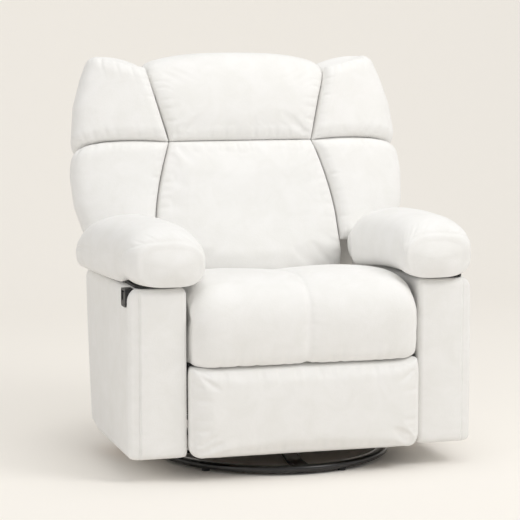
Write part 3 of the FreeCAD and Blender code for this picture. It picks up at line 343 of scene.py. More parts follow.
def inflate(points, faces, loose, pressure, cap, steps=20):
    # cloth under a little air pressure, held where loose is 0, moved at most cap mm
    mesh = bpy.data.meshes.new("blank")
    mesh.from_pydata((points / 1000).tolist(), [], [list(f) for f in faces])
    work = bmesh.new()
    work.from_mesh(mesh)
    bmesh.ops.recalc_face_normals(work, faces=work.faces)
    work.to_mesh(mesh)
    work.free()
    blank = bpy.data.objects.new("blank", mesh)
    bpy.context.scene.collection.objects.link(blank)
    held = blank.vertex_groups.new(name="held")
    weights = 1 - np.clip(loose, 0, 1)
    for level in np.unique(np.round(weights, 1)):
        chosen = np.nonzero(np.round(weights, 1) == level)[0]
        held.add(chosen.tolist(), float(level), "REPLACE")
    cloth = blank.modifiers.new("cloth", "CLOTH")
    c = cloth.settings
    c.quality = 3
    c.mass = 0.25
    c.tension_stiffness = c.compression_stiffness = 8
    c.bending_stiffness = 1.5
    c.use_pressure = True
    c.uniform_pressure_force = pressure
    c.effector_weights.gravity = 0
    c.vertex_group_mass = "held"
    cloth.point_cache.frame_start = 1
    cloth.point_cache.frame_end = steps
    scene = bpy.context.scene
    for f in range(1, steps + 1):
        scene.frame_set(f)
    shown = blank.evaluated_get(bpy.context.evaluated_depsgraph_get())
    moved = np.zeros(len(mesh.vertices) * 3, np.float32)
    shown.data.vertices.foreach_get("co", moved)
    shift = moved.reshape(-1, 3) * 1000.0 - points
    size = np.linalg.norm(shift, axis=1, keepdims=True)
    shift *= np.minimum(1, cap / np.maximum(size, 1e-9))
    bpy.data.objects.remove(blank)
    bpy.data.meshes.remove(mesh)
    scene.frame_set(1)
    return points + shift


def settle(points, faces, loose, cap, pressure=4.0):
    return inflate(points, faces, loose, pressure, cap)


# Lines of the back, in mm: front of the cushions, front of the frame, widths, and the gap at the frame and seams

backSet = {"low": 328, "seat": 492, "full": 565, "waist": 787, "notch": 987, "top": 1018,
           "waistHalf": 197, "flare": 53, "notchHalf": 250, "frameFront": 262, "lean": 0.247, "gap": 0.6}


def frontLine(z):
    levels = [backSet[k] for k in ("low", "seat", "waist", "notch", "top")]
    return np.interp(z, levels, [186, 190, 278, 328, 352])


def frameLine(z):
    return backSet["frameFront"] + backSet["lean"] * (z - backSet["low"])


def middleHalf(z):
    # half width of the middle cushions: narrow in the frame, full over the arms, a curve in to the waist, out to the top
    b = backSet
    t = np.clip((b["waist"] - z) / (b["waist"] - b["full"]), 0, 1)
    flare = b["waistHalf"] + b["flare"] * (1 - (1 - t) ** 1.6)
    low = np.interp(z, [b["low"], 462, b["seat"], b["full"]], [249, 253, 256, 250])
    high = np.interp(z, [b["waist"], b["notch"]], [b["waistHalf"], b["notchHalf"]])
    return np.where(z > b["waist"], high, np.where(z < b["full"], low, flare))


lumbarSet = {"across": 100, "along": 84, "low": 336.0, "high": 786.0, "sink": 13.0, "swell": 25.0, "crown": 8.0, "edge": 34.0,
             "topFolds": (11, 26, 14, 2.2), "sideFolds": (12, 24, 13, 1.8), "cap": 7}


# Lumbar cushion: width line times the front line, raised by quarter circles from every seam
def lumbarCushion(s):
    u = np.linspace(-1, 1, s["across"])[:, None]
    z = np.linspace(s["low"], s["high"], s["along"])[None]
    half = middleHalf(z) - 1
    base = np.stack(np.broadcast_arrays(u * half, frontLine(z) + s["sink"], z), -1)
    left, right, bottom, top = edgeDistances(base)
    side = np.minimum(left, right)
    lift = s["swell"] * rise(side, s["edge"]) * rise(top, s["edge"])
    lift += s["crown"] * (1 - u ** 2) * np.sin(np.pi * (z - s["low"]) / (s["high"] - s["low"]))
    lift -= pucker(top, base[..., 0], *s["topFolds"]) + pucker(side, z + 0 * u, *s["sideFolds"])
    face = base + normals(base, (0, -1, 0)) * lift[..., None]
    rear = np.stack(np.broadcast_arrays(u * half, frameLine(z) - backSet["gap"], z), -1)
    points, faces = boxSkin(face, rear, 6)
    depth = points[:, 1] - np.interp(points[:, 2], z[0], frontLine(z[0]))
    points = settle(points, faces, smooth((10 - depth) / 20), s["cap"])
    makePiece("lumbarCushion", points, faces, "upholstery", "back", ["lumbar_cushion"], levels=1)


headSet = {"across": 96, "along": 96, "sink": 12.0, "swell": 25.0, "crown": 6.0, "edge": 34.0, "rearEdge": 22, "arch": 27.0,
           "sideFolds": (21, 26, 15, 2.4), "lowFolds": (22, 28, 14, 2.0), "cap": 7}


# Head cushion: a profile that runs up the front, over the frame and down behind, carried across between its side seams
def headCushion(s):
    corners = [(278, 788), (303, 888), (322, 952), (340, 990), (376, 1002), (430, 999), (464, 986), (474, 958)]
    profile = evenly(roundedPath(corners), s["along"])
    u = np.linspace(-1, 1, s["across"])[:, None]
    y, z = profile[None, :, 0], profile[None, :, 1]
    over = smooth((y - 330) / 60)
    half = np.interp(z, [787, 987], [196, 249]) * (1 - over) + 248 * over
    z = z - s["arch"] * np.abs(u) ** 3.2 * smooth((z - 900) / 90)
    base = np.stack(np.broadcast_arrays(u * half, y + 0 * u, z), -1)
    left, right, bottom, top = edgeDistances(base)
    side = np.minimum(left, right)
    ends = rise(bottom, s["edge"]) * rise(top, s["rearEdge"])
    v = np.linspace(0, 1, s["along"])[None]
    lift = -s["sink"] + s["swell"] * rise(side, s["edge"]) * ends
    lift += s["crown"] * (1 - u ** 2) * np.sin(np.pi * v)
    lift -= pucker(side, bottom, *s["sideFolds"]) + pucker(bottom, base[..., 0], *s["lowFolds"])
    face = base + normals(base, (0, -1, 1)) * lift[..., None]
    topBar, gap = frameLine(957), backSet["gap"]
    inner = evenly(np.array([(frameLine(788) - gap, 788), (topBar - gap, 958.5), (topBar + 52, 958.5)]), s["along"])
    rear = np.stack(np.broadcast_arrays(u * half, inner[None, :, 0] + 0 * u, inner[None, :, 1]), -1)
    points, faces = boxSkin(face, rear, 6)
    points = settle(points, faces, smooth((frontLine(points[:, 2]) + 12 - points[:, 1]) / 16), s["cap"])
    makePiece("headCushion", points, faces, "upholstery", "back", ["head_cushion"], levels=1)


wingSet = {"around": 116, "along": 66, "power": 3.0, "hug": 264.0, "sink": 10.0, "swell": 29.0, "edge": 36.0,
           "seamEdge": 30, "rearEdge": 24, "sweep": 18.0, "taper": 34.0, "topDrop": 26, "dome": 7,
           "lowFolds": (24, 14, 2.2), "topFolds": (24, 14, 2.6), "seamFolds": (26, 10, 1.4)}


def wingOuter(z):
    # outer edge seen from the front: fullest over the arms, drawn in towards both ends
    levels = [520, 560, 620, 690, 760, 800, 870, 940, 985, 1008]
    return np.interp(z, levels, [400, 424, 442, 448, 443, 438, 430, 408, 389, 374])


def wingBottom(u):
    # bottom edge: over the pillow in front, hanging lower behind it
    return 522 - 94 * smooth((u - 0.44) / 0.14)


def wingSeam(u):
    # the seam between the wings: level over the front, falling away round the outside
    return backSet["waist"] + 4 * np.sin(np.pi * np.clip(u / 0.3, 0, 1)) - 50 * smooth((u - 0.26) / 0.36)


def wingTop(u):
    # top edge: low at the notch beside the head cushion, highest at the outer corner
    return 983 + 27 * np.clip(u / 0.36, 0, 1) - 36 * smooth((u - 0.4) / 0.6)


# Wing: half a superellipse round the outside of the frame, from the middle cushion's seam to the outside back
def wingCushion(s, name, node, zLow, zHigh, seed):
    theta = np.linspace(-np.pi / 2, np.pi / 2, 2001)
    power = 2 / s["power"]
    lap = np.stack([170 * np.abs(np.cos(theta)) ** power, 105 * np.sign(theta) * np.abs(np.sin(theta)) ** power], 1)
    length = np.concatenate([[0], np.cumsum(np.linalg.norm(np.diff(lap, axis=0), axis=1))])
    u = np.linspace(0, 1, s["around"])[:, None]
    turn = np.interp(u * length[-1], length, theta)
    v = np.linspace(0, 1, s["along"])[None]
    z = zLow(u) + (zHigh(u) - zLow(u)) * v
    inner = middleHalf(np.minimum(z, backSet["notch"])) + 1
    start = np.where(turn < 0, inner, s["hug"])
    outer = wingOuter(z) - s["taper"] * smooth((np.sin(turn) + 0.6) / 1.6)
    near, far = frontLine(z) + 2, frameLine(z) + 60
    x = start + (outer - start) * np.abs(np.cos(turn)) ** power
    y = (near + far) / 2 + (far - near) / 2 * np.sign(turn) * np.abs(np.sin(turn)) ** power
    y = y + s["sweep"] * smooth((x - inner) / (outer - inner)) * (turn < 0) * np.abs(np.sin(turn))
    base = np.stack(np.broadcast_arrays(x, y, z), -1)
    first, last, bottom, top = edgeDistances(base)
    ends = rise(bottom, s["edge"]) * rise(top, s["edge"])
    lift = -s["sink"] + s["swell"] * ends * rise(first, s["seamEdge"]) * rise(last, s["rearEdge"])
    folds = pucker(bottom, first, seed, *s["lowFolds"]) + pucker(top, first, seed + 1, *s["topFolds"])
    lift -= folds + pucker(first, bottom, seed + 2, *s["seamFolds"])
    face = base + normals(base, (1, -0.4, 0)) * lift[..., None]
    # inner side of the skin: along the frame's front, then back beside it
    knee = np.clip((u - 0.4) / 0.1, 0, 1)
    backX = inner + (s["hug"] - inner) * knee
    step = frameLine(z) - backSet["gap"]
    startY, endY = face[:1, :, 1] + 12, face[-1:, :, 1] - 6
    beside = step + (endY - step) * np.clip((u - 0.5) / 0.5, 0, 1)
    backY = np.where(u < 0.4, startY + (step - startY) * u / 0.4, beside)
    rear = np.stack(np.broadcast_arrays(backX, backY, z - s["topDrop"] * smooth((z - 900) / 80)), -1)
    dome = np.zeros_like(face)
    dome[..., 2] = s["dome"] * (v > 0.999) * np.sin(np.pi * np.clip(u, 0, 1)) ** 0.5
    points, faces = boxSkin(face, rear, 6, dome)
    makePair(name, node, points, faces, "back", levels=1)


seatSet = {"across": 104, "along": 96, "half": 289.0, "sink": 8.0, "swell": 10.0, "lobe": 9.0, "crown": 4.0,
           "sideFall": 46, "sideTuck": 30, "bulge": 3, "cap": 6,
           "valleyFolds": (31, 30, 10, 0.9), "noseFolds": (32, 30, 14, 1.8), "sideFolds": (33, 30, 14, 1.4)}


# Seat cushion: a bullnose profile, highest near the front, with a sewn valley down the middle and rolled sides
def seatCushion(s):
    corners = [(147, 438), (118, 443), (0, 461), (-110, 473), (-200, 478), (-264, 469), (-308, 440), (-325, 398), (-323, 335),
               (-317, 290), (-296, 282)]
    profile = evenly(roundedPath(corners), s["along"])
    u = np.linspace(-1, 1, s["across"])[:, None]
    y, z = profile[None, :, 0], profile[None, :, 1]
    roll = np.clip((np.abs(u) - 0.76) / 0.24, 0, 1) ** 2.2
    z = z - s["sideFall"] * roll * smooth((z - 370) / 90)
    y = y + s["sideTuck"] * roll * smooth((-240 - y) / 60)
    base = np.stack(np.broadcast_arrays(u * s["half"], y, z), -1)
    left, right, start, end = edgeDistances(base)
    side, middle = np.minimum(left, right), np.abs(base[..., 0])
    v = np.linspace(0, 1, s["along"])[None]
    lift = -s["sink"] + s["swell"] * rise(side, 40) * rise(end, 30) * rise(start, 40)
    lobes = s["lobe"] * rise(middle, 22) * rise(side, 50)
    lift += lobes + s["crown"] * np.sin(np.pi * middle / s["half"]) * np.sin(np.pi * v)
    lift -= pucker(middle, start, *s["valleyFolds"]) * smooth((v - 0.3) / 0.2)
    lift -= pucker(end, base[..., 0], *s["noseFolds"]) + pucker(side, start, *s["sideFolds"])
    face = base + normals(base, (0, -1, 1)) * lift[..., None]
    inner = evenly(np.array([(146, 349), (-238, 349), (-250, 345), (-252, 285)]), s["along"])
    rear = np.stack(np.broadcast_arrays(u * (s["half"] - 1), inner[None, :, 0] + 0 * u, inner[None, :, 1]), -1)
    bulge = np.zeros_like(face)
    bulge[..., 0] = s["bulge"] * np.sign(u) * (np.abs(u) > 0.999)
    points, faces = boxSkin(face, rear, 8, bulge)
    free = smooth((s["half"] - 14 - np.abs(points[:, 0])) / 30) * smooth((np.abs(points[:, 0]) - 6) / 20)
    nose = smooth((-280 - points[:, 1]) / 20) * smooth((points[:, 2] - 305) / 20)
    loose = np.maximum(smooth((points[:, 2] - 380) / 30), nose) * free
    points = settle(points, faces, loose, s["cap"], 3.0)
    makePiece("seatCushion", points, faces, "upholstery", "chassis", ["seat_cushion"], levels=1)


footrestSet = {"across": 116, "along": 52, "half": 289.0, "low": 56.0, "high": 278.0, "front": -316.0, "rear": -260.6,
               "sink": 10.0, "swell": 21.0, "crown": 5, "bulge": 3.5, "cap": 4,
               "topFolds": (41, 30, 16, 2.6), "lowFolds": (42, 34, 16, 1.6), "sideFolds": (43, 30, 14, 1.6)}


# Footrest pad: a flat panel raised from its edges, with rounded lower corners
def footrestPad(s):
    u = np.linspace(-1, 1, s["across"])[:, None]
    v = np.linspace(0, 1, s["along"])[None]
    z = s["low"] + (s["high"] - s["low"]) * v
    half = s["half"] - 26 * (1 - rise(z - s["low"], 34)) - 5 * (1 - rise(s["high"] - z, 26))
    base = np.stack(np.broadcast_arrays(u * half, s["front"] + 0 * u + 0 * v, z + 0 * u), -1)
    left, right, bottom, top = edgeDistances(base)
    side = np.minimum(left, right)
    lift = -s["sink"] + s["swell"] * rise(side, 44) * rise(bottom, 42) * rise(top, 40)
    lift += s["crown"] * (1 - u ** 2) * np.sin(np.pi * v)
    folds = pucker(top, base[..., 0], *s["topFolds"]) + pucker(bottom, base[..., 0], *s["lowFolds"])
    lift -= folds + pucker(side, z + 0 * u, *s["sideFolds"])
    face = base + np.array([0, -1, 0]) * lift[..., None]
    rear = np.stack(np.broadcast_arrays(u * half * 0.996, s["rear"] + 0 * u + 0 * v, z + 0 * u), -1)
    bulge = np.zeros_like(face)
    bulge[..., 0] = s["bulge"] * np.sign(u) * (np.abs(u) > 0.999)
    points, faces = boxSkin(face, rear, 8, bulge)
    points = settle(points, faces, smooth((-285 - points[:, 1]) / 20), s["cap"])
    makePiece("footrestPad", points, faces, "upholstery", "footrest", ["footrest_cushion"], levels=1)


def tubeSkin(grid, crowns):
    # skin of loops (around, along, 3) with both ends closed by shrinking rings, each end crowned along y
    n, m = grid.shape[:2]
    ids = np.arange(n * m).reshape(n, m)
    wrap = np.concatenate([ids, ids[:1]])
    faces = [np.stack([wrap[:-1, :-1], wrap[1:, :-1], wrap[1:, 1:], wrap[:-1, 1:]], -1).reshape(-1, 4).tolist()]
    points, total = [grid.reshape(-1, 3)], n * m
    for row, crown in zip((0, -1), crowns):
        edge, before = grid[:, row], ids[:, row]
        hub = (edge.max(0) + edge.min(0)) / 2
        for share in (0.96, 0.9, 0.8, 0.65, 0.45, 0.22):
            points.append(hub + (edge - hub) * share + np.array(crown) * (1 - share ** 2) ** 1.3)
            now = total + np.arange(n)
            faces.append(np.stack([before, np.roll(before, -1), np.roll(now, -1), now], 1).tolist())
            before, total = now, total + n
        points.append((hub + np.array(crown))[None])
        faces.append(np.stack([before, np.roll(before, -1), np.full(n, total)], 1).tolist())
        total += 1
    return np.concatenate(points), [f for part in faces for f in part]


pillowSet = {"around": 132, "along": 120, "front": -304.0, "rear": 238.0, "inner": 247.0, "outer": 441.0, "low": 479.0,
             "seatHang": 26, "boardHang": 15, "frontHang": 4, "cap": 5, "crowns": ((0, -13, 0), (0, 4, 0)),
             "frontFolds": (51, 17, 13, 1.5), "sideFolds": (52, 26, 14, 1.2)}


# Arm pillow: loops with a domed top and a tucked lower half, blunt at the front and thin at the tail
def armPillow(s):
    t = np.linspace(0, 2 * np.pi, 4 * s["around"], endpoint=False)[:, None]
    y = (s["front"] + (s["rear"] - s["front"]) * np.linspace(0, 1, s["along"]) ** 1.25)[None]
    fromFront, fromRear = y - s["front"], s["rear"] - y
    # sides in plan: rounded at the front, the tail drawn in under the wing
    inner = s["inner"] + 19 * smooth((y - 90) / 70) + 14 * (1 - rise(fromFront, 34)) + 26 * smooth((y - 184) / 30)
    outer = s["outer"] + 30 * smooth(fromFront / 420) - 34 * (1 - rise(fromFront, 60)) - 34 * smooth((y - 190) / 34)
    middle, half = (inner + outer) / 2, (outer - inner) / 2 * (0.84 + 0.16 * rise(fromRear, 40))
    stations = [-304, -170, -60, 60, 125, 158, 178, 192, 204, 238]
    crest = np.interp(y, stations, [622, 622, 622, 617, 606, 590, 568, 540, 518, 507])
    crest = s["low"] + (crest - s["low"]) * (0.62 + 0.38 * rise(fromFront, 120))
    waist = s["low"] + np.interp(y, [-304, -150, 120, 190, 238], [56, 60, 48, 42, 16])
    c, d = np.cos(t), np.sin(t)
    up = d > 0
    tuck = np.where(up, 1, 1 - 0.1 * np.abs(d) ** 1.5)
    x = middle + half * np.sign(c) * np.abs(c) ** np.where(up, 0.86, 0.5) * tuck
    z = waist + np.where(up, (crest - waist) * np.abs(d) ** 0.86, -(waist - s["low"]) * np.abs(d) ** 0.55)
    below = smooth((waist - z) / 30)
    # the underside hangs over the board's outer edge, down beside the seat and a little at the front
    hang = np.interp(y, [-200, -100, 0, 100, 170, 205], [0, 4, 14, 25, s["seatHang"], 0])
    z = z - s["boardHang"] * smooth((x - 414) / 16) * below * smooth((y + 250) / 90)
    z = z - hang * smooth((291 - x) / 22) * below
    z = z - s["frontHang"] * smooth((-230 - y) / 40) * below
    loops = np.stack(np.broadcast_arrays(x, y + 0 * x, z), -1)
    closed = np.concatenate([loops, loops[:1]])
    base = np.stack([evenly(loop, s["around"] + 1)[:-1] for loop in closed.swapaxes(0, 1)], 1)
    x, z = base[..., 0], base[..., 2]
    out = np.cross(np.gradient(base, axis=1), np.roll(base, -1, 0) - np.roll(base, 1, 0))
    out /= np.maximum(np.linalg.norm(out, axis=2, keepdims=True), 1e-9)
    out *= np.sign((out[..., 2] * np.sign(z - waist)).mean())
    upper, over = smooth((z - waist + 14) / 16), smooth((x - middle) / half * 2)
    # seams: one along the outer side, one over the front that drops back round the outer corner
    seamSide = np.abs(z - waist - 4)
    seamFront = fromFront - 7 - 60 * smooth((x - middle) / half * 1.2) * (1 - smooth((z - waist - 6) / 46))
    along = np.cumsum(np.linalg.norm(base - np.roll(base, 1, 0), axis=2), axis=0)
    lift = -2.4 * np.exp(-(seamSide / 4.5) ** 2) * over * smooth((fromFront - 60) / 20) * smooth(fromRear / 60)
    lift -= 2.6 * np.exp(-(seamFront / 4.5) ** 2) * upper + 1.8 * np.exp(-(seamFront / 4) ** 2) * (1 - upper) * over
    lift -= pucker(np.abs(seamFront), along, *s["frontFolds"]) * upper * (seamFront > 0)
    lift -= pucker(seamSide, y + 0 * x, *s["sideFolds"]) * over * smooth((fromFront - 60) / 30) * (z < waist)
    lift[:, 0] = 0
    grid = base + out * lift[..., None]
    points, faces = tubeSkin(grid, s["crowns"])
    loose = smooth((points[:, 2] - 494) / 30) * smooth((130 - points[:, 1]) / 60) * smooth((points[:, 1] + 290) / 20)
    points = settle(points, faces, loose, s["cap"], 3.0)
    makePair("armPillow", "arm_pillow", points, faces, "chassis", levels=1)


armSet = {"around": 320, "along": 90, "inner": 294.8, "outer": 436.5, "front": -285.0, "low": 57.0, "high": 471.6,
          "strip": 25.0, "stripLean": 8, "planX": 66, "planY": 260, "heel": 30, "folds": (56, 22, 10, 0.5)}


# Arm cover: a round-cornered plan carried up the arm, its rear edge leaning, its front a padded panel beside a sewn strip
def armCovers(s):
    z = np.linspace(0, 1, s["along"])
    z = (s["low"] + (s["high"] - s["low"]) * (z - 0.16 * np.sin(2 * np.pi * z) / (2 * np.pi) * 2))[None]
    rearY = np.interp(z, [57, 472], [173, 243])
    corners = [(1, -1, 9), (1, 1, 14), (-1, 1, 8), (-1, -1, 12)]
    planX, planY = s["planX"], s["planY"]
    arcs = []
    for k, (cx, cy, radius) in enumerate(corners):
        a = np.linspace(0, np.pi / 2, 13) + (k - 1) * np.pi / 2
        arcs.append(np.stack([planX * cx - radius * cx + radius * np.cos(a), planY * cy - radius * cy + radius * np.sin(a)], 1))
    loop = np.concatenate(arcs)
    loop = evenly(np.concatenate([loop, loop[:1]]), 2001)
    # closer points over the front, and a little closer at the rear
    density = 1 + 5 * (loop[1:, 1] < -236) + 2 * (loop[1:, 1] > 236)
    step = np.linalg.norm(np.diff(loop, axis=0), axis=1) * density
    length = np.concatenate([[0], np.cumsum(step)])
    at = np.linspace(0, length[-1], s["around"] + 1)[:-1]
    loop = np.stack([np.interp(at, length, loop[:, i]) for i in range(2)], 1)
    ax, ay = loop[:, :1] / planX, loop[:, 1:] / planY
    under, over = z - s["low"], s["high"] - z
    pinOut = 12 * (1 - rise(under, 14)) + 26 * (1 - rise(over, 32))
    pinIn = 10 * (1 - rise(under, 12)) + 14 * (1 - rise(over, 17))
    pinFront = 10 * (1 - rise(under, 12)) + 16 * (1 - rise(over, 20))
    x0, x1 = s["inner"] + pinIn, s["outer"] - pinOut
    y0, y1 = s["front"] + pinFront, rearY - pinFront
    x = (x0 + x1) / 2 + ax * (x1 - x0) / 2
    y = (y0 + y1) / 2 + ay * (y1 - y0) / 2
    front = smooth((-ay - 0.9) / 0.08)
    inside = s["outer"] - s["strip"] - x
    panel = 2.6 * smooth(inside / 5) + 3 * rise(np.clip(inside, 0, None), 30)
    lift = front * panel * rise(under, 30) * rise(over, 36)
    # a groove beside the panel, and the strip leaning back to the outer corner
    lift -= (1.6 * np.exp(-(inside / 2.0) ** 2) + s["stripLean"] * np.clip(-inside / s["strip"], 0, 1)) * front
    lift -= pucker(np.abs(inside), z + 0 * x, *s["folds"]) * front
    y = y - lift
    x = x + 1.6 * smooth((ax - 0.9) / 0.1) * np.sin(np.pi * under / (s["high"] - s["low"]))
    heel = smooth((ay - 0.62) / 0.38)  # the lower rear corner is rounded off
    z = z + s["heel"] * heel * (1 - rise(under, 50)) * (1 - under / 420)
    grid = np.stack(np.broadcast_arrays(x, y, z + 0 * x), -1)
    points, faces = tubeSkin(grid, ((0, 0, 0), (0, 0, 0)))
    makePair("armCover", "arm_cover", points, faces, "chassis")


outerSet = {"across": 72, "along": 84, "half": 257.0, "low": 301.0, "high": 956.0, "deep": 40.0,
            "lip": 16, "gap": 25.6, "crown": 12, "sideFolds": (61, 34, 16, 1.6), "topFolds": (62, 34, 16, 1.6)}


# Outside back: a panel behind the frame, raised from its edges
def outerBack(s):
    u = np.linspace(-1, 1, s["across"])[:, None]
    z = np.linspace(s["low"], s["high"], s["along"])[None]
    near = frameLine(z) + s["gap"]
    base = np.stack(np.broadcast_arrays(u * s["half"], near + s["lip"] + 0 * u, z + 0 * u), -1)
    left, right, bottom, top = edgeDistances(base)
    side = np.minimum(left, right)
    lift = (s["deep"] - s["lip"]) * rise(side, 36) * rise(bottom, 40) * rise(top, 40)
    lift += s["crown"] * (1 - u ** 2) * np.sin(np.pi * (z - s["low"]) / (s["high"] - s["low"]))
    lift -= pucker(side, z + 0 * u, *s["sideFolds"]) + pucker(top, base[..., 0], *s["topFolds"])
    face = base + normals(base, (0, 1, 0)) * lift[..., None]
    rear = np.stack(np.broadcast_arrays(u * s["half"], near + 0 * u, z + 0 * u), -1)
    points, faces = boxSkin(face, rear, 4)
    makePiece("outerBack", points, faces, "upholstery", "back", ["back_outer_panel"], levels=1)


skirtSet = {"across": 60, "along": 24, "lip": 5, "swell": 6, "edge": 10, "crown": 2}


# Rear skirt: covered panel between the arms at the rear, its slab's box with soft edges
def rearSkirt(s):
    low, high = (np.array(c) * 1000 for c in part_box("rear_skirt"))
    low[1] -= axisY * 1000
    high[1] -= axisY * 1000
    u = np.linspace(-1, 1, s["across"])[:, None]
    z = np.linspace(low[2], high[2], s["along"])[None]
    base = np.stack(np.broadcast_arrays(u * high[0], high[1] - s["lip"] + 0 * u + 0 * z, z + 0 * u), -1)
    left, right, bottom, top = edgeDistances(base)
    lift = s["swell"] * rise(np.minimum(left, right), s["edge"]) * rise(bottom, s["edge"]) * rise(top, s["edge"])
    lift = lift + s["crown"] * (1 - u ** 2)
    face = base + np.array([0, 1, 0]) * lift[..., None]
    rear = np.stack(np.broadcast_arrays(u * high[0], low[1] + 0.2 + 0 * u + 0 * z, z + 0 * u), -1)
    points, faces = boxSkin(face, rear, 3)
    makePiece("rearSkirt", points, faces, "upholstery", "chassis", ["rear_skirt"])


ringSet = {"outer": 300.0, "width": 28.0, "low": 6.0, "height": 17.0, "around": 240, "section": 40, "power": 3.0}


# Base ring: a superellipse bar section swept round the swivel axis
def baseRing(s):
    a = np.linspace(0, 2 * np.pi, s["around"], endpoint=False)[:, None]
    t = np.linspace(0, 2 * np.pi, s["section"], endpoint=False)[None]
    r = s["outer"] - s["width"] / 2 + s["width"] / 2 * np.sign(np.cos(t)) * np.abs(np.cos(t)) ** (2 / s["power"])
    z = s["low"] + s["height"] / 2 * (1 + np.sign(np.sin(t)) * np.abs(np.sin(t)) ** (2 / s["power"]))
    points = np.stack(np.broadcast_arrays(r * np.cos(a), r * np.sin(a), z + 0 * a), -1).reshape(-1, 3)
    ids = np.arange(len(points)).reshape(s["around"], s["section"])
    right, up = np.roll(ids, -1, 0), np.roll(ids, -1, 1)
    faces = np.stack([ids, right, np.roll(right, -1, 1), up], -1).reshape(-1, 4)
    makePiece("baseRing", points, faces, "black_steel", "base", ["base_ring"])


springSet = {"turns": 12.5, "wire": 2.3, "coil": 14.0, "perTurn": 28, "section": 8, "inset": 16.5}


# Rocker springs: a wire circle carried along a helix between its two leaves
def rockerSprings(s):
    low, high = (np.array(c) * 1000 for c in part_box("rocker_springs"))
    t = np.linspace(0, 1, int(s["turns"] * s["perTurn"]))
    a = 2 * np.pi * s["turns"] * t
    z = low[2] + s["wire"] + (high[2] - low[2] - 2 * s["wire"]) * t
    out = np.stack([np.cos(a), np.sin(a), 0 * a], 1)
    up = np.array([0, 0, 1.0])
    b = np.linspace(0, 2 * np.pi, s["section"], endpoint=False)
    ring = np.cos(b)[None, :, None] * out[:, None] + np.sin(b)[None, :, None] * up
    tube = (out * s["coil"] + z[:, None] * up)[:, None] + s["wire"] * ring
    ids = np.arange(len(t) * s["section"]).reshape(len(t), -1)
    near = np.roll(ids, -1, 1)
    one = np.stack([ids[:-1], ids[1:], near[1:], near[:-1]], -1).reshape(-1, 4)
    points, faces = [], []
    for sx in (-1, 1):
        for y in (low[1] - axisY * 1000 + s["inset"], high[1] - axisY * 1000 - s["inset"]):
            faces.append(one + len(points) * tube.shape[0] * tube.shape[1])
            points.append(tube.reshape(-1, 3) + np.array([sx * (high[0] - s["inset"]), y, 0]))
    points, faces = np.concatenate(points), np.concatenate(faces)
    piece = makePiece("rockerSprings", points, faces, "spring_steel", None, ["rocker_springs"])
    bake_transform(piece)


lumbarCushion(lumbarSet)
headCushion(headSet)
wingCushion(wingSet, "lowerWing", "lower_wing", wingBottom, lambda u: wingSeam(u) - backSet["gap"], 71)
wingCushion(wingSet, "upperWing", "upper_wing", lambda u: wingSeam(u) + backSet["gap"], wingTop, 81)
print("back dressed")
seatCushion(seatSet)
footrestPad(footrestSet)
armPillow(pillowSet)
armCovers(armSet)
outerBack(outerSet)
rearSkirt(skirtSet)
print("seat, footrest and arms dressed")
baseRing(ringSet)
rockerSprings(springSet)
print("base dressed")


# Floor that curves up into a wall, and soft studio light
stageSet = {"floor": "#f4f0ea", "tint": "#fef9f0", "glow": 0.45, "dimNear": 0.25, "dimFar": 0.8,
            "depth": 2.6, "bend": 1.6, "height": 5.0, "half": 6.0, "near": -9.0}


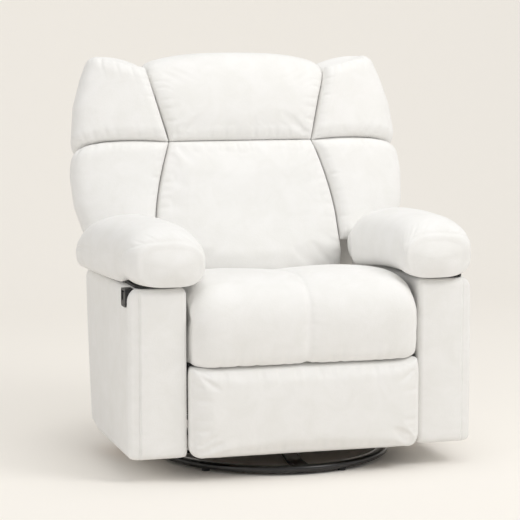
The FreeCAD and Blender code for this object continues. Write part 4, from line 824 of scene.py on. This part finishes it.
def makeStage(s):
    # floor line, quarter circle, wall line, carried across
    a = np.linspace(0, np.pi / 2, 24)
    y = np.concatenate([[s["near"]], s["depth"] + s["bend"] * np.sin(a), [s["depth"] + s["bend"]]])
    z = np.concatenate([[0], s["bend"] * (1 - np.cos(a)), [s["height"]]])
    x = np.array([-s["half"], s["half"]])[:, None]
    grid = np.stack(np.broadcast_arrays(x, y[None], z[None]), -1)
    ids = np.arange(grid.shape[0] * grid.shape[1]).reshape(grid.shape[:2])
    faces = np.stack([ids[:-1, :-1], ids[1:, :-1], ids[1:, 1:], ids[:-1, 1:]], -1).reshape(-1, 4)
    mesh = bpy.data.meshes.new("studioFloor")
    mesh.from_pydata(grid.reshape(-1, 3).tolist(), [], faces.tolist())
    mesh.polygons.foreach_set("use_smooth", np.ones(len(mesh.polygons), bool))
    # matte paper; to the camera and in reflections it glows a little, so that it stays pale without more lamps,
    # except under the chair; from behind it is clear, so that the wall never hides the chair
    material, tree, shader = newMaterial("matte_paper", Roughness=1.0, Specular_IOR_Level=0.0)
    shader.inputs["Base Color"].default_value = toLinear(s["floor"])
    path = addNode(tree, "ShaderNodeLightPath")
    seen = addNode(tree, "ShaderNodeMath", {0: path.outputs["Is Camera Ray"], 1: path.outputs["Is Glossy Ray"]},
                   operation="MAXIMUM")
    seen = addNode(tree, "ShaderNodeMath", {0: seen.outputs["Value"], 1: path.outputs["Is Transmission Ray"]},
                   operation="MAXIMUM")
    away = addNode(tree, "ShaderNodeVectorMath", {0: ownSpace(tree)}, {1: (0, -axisY, 0)}, operation="ADD")
    away = addNode(tree, "ShaderNodeVectorMath", {0: away.outputs["Vector"]}, operation="LENGTH")
    near = addNode(tree, "ShaderNodeMapRange", {"Value": away.outputs["Value"]},
                   {"From Min": s["dimNear"], "From Max": s["dimFar"], "To Max": s["glow"]}, interpolation_type="SMOOTHSTEP")
    share = addNode(tree, "ShaderNodeMath", {0: seen.outputs["Value"], 1: near.outputs["Result"]}, operation="MULTIPLY")
    glow = addNode(tree, "ShaderNodeEmission", (), {"Color": toLinear(s["tint"])})
    mix = addNode(tree, "ShaderNodeMixShader",
                  {0: share.outputs["Value"], 1: shader.outputs["BSDF"], 2: glow.outputs["Emission"]})
    side = addNode(tree, "ShaderNodeNewGeometry")
    clear = addNode(tree, "ShaderNodeBsdfTransparent")
    both = addNode(tree, "ShaderNodeMixShader",
                   {0: side.outputs["Backfacing"], 1: mix.outputs["Shader"], 2: clear.outputs["BSDF"]})
    tree.links.new(both.outputs["Shader"], tree.nodes["Material Output"].inputs["Surface"])
    mesh.materials.append(material)
    floor = bpy.data.objects.new("studioFloor", mesh)
    bpy.context.scene.collection.objects.link(floor)


def addLamp(name, place, aim, size, power, tint):
    data = bpy.data.lights.new(name, "AREA")
    data.shape = "DISK"
    data.size = size
    data.energy = power
    data.color = toLinear(tint)[:3]
    lamp = bpy.data.objects.new(name, data)
    bpy.context.scene.collection.objects.link(lamp)
    lamp.location = place
    way = np.array(aim) - np.array(place)
    flat = np.hypot(way[0], way[1])
    lamp.rotation_euler = (np.arctan2(flat, -way[2]), 0, np.arctan2(way[1], way[0]) - np.pi / 2)


makeStage(stageSet)
chairMiddle, lampTint = (0, 0, 0.5), "#fffefc"
addLamp("keyLamp", (2.6, -2.6, 4.0), chairMiddle, 2.4, 94, lampTint)
addLamp("fillLamp", (-4.0, -2.4, 2.4), chairMiddle, 3.0, 36, lampTint)
addLamp("topLamp", (0.2, -0.4, 4.4), chairMiddle, 2.6, 34, lampTint)
world = bpy.data.worlds.new("studioSky")
world.use_nodes = True
sky = world.node_tree.nodes["Background"]
sky.inputs["Color"].default_value = toLinear("#ffffff")
sky.inputs["Strength"].default_value = 0.52
bpy.context.scene.world = world
bpy.context.scene.view_settings.view_transform = "Standard"
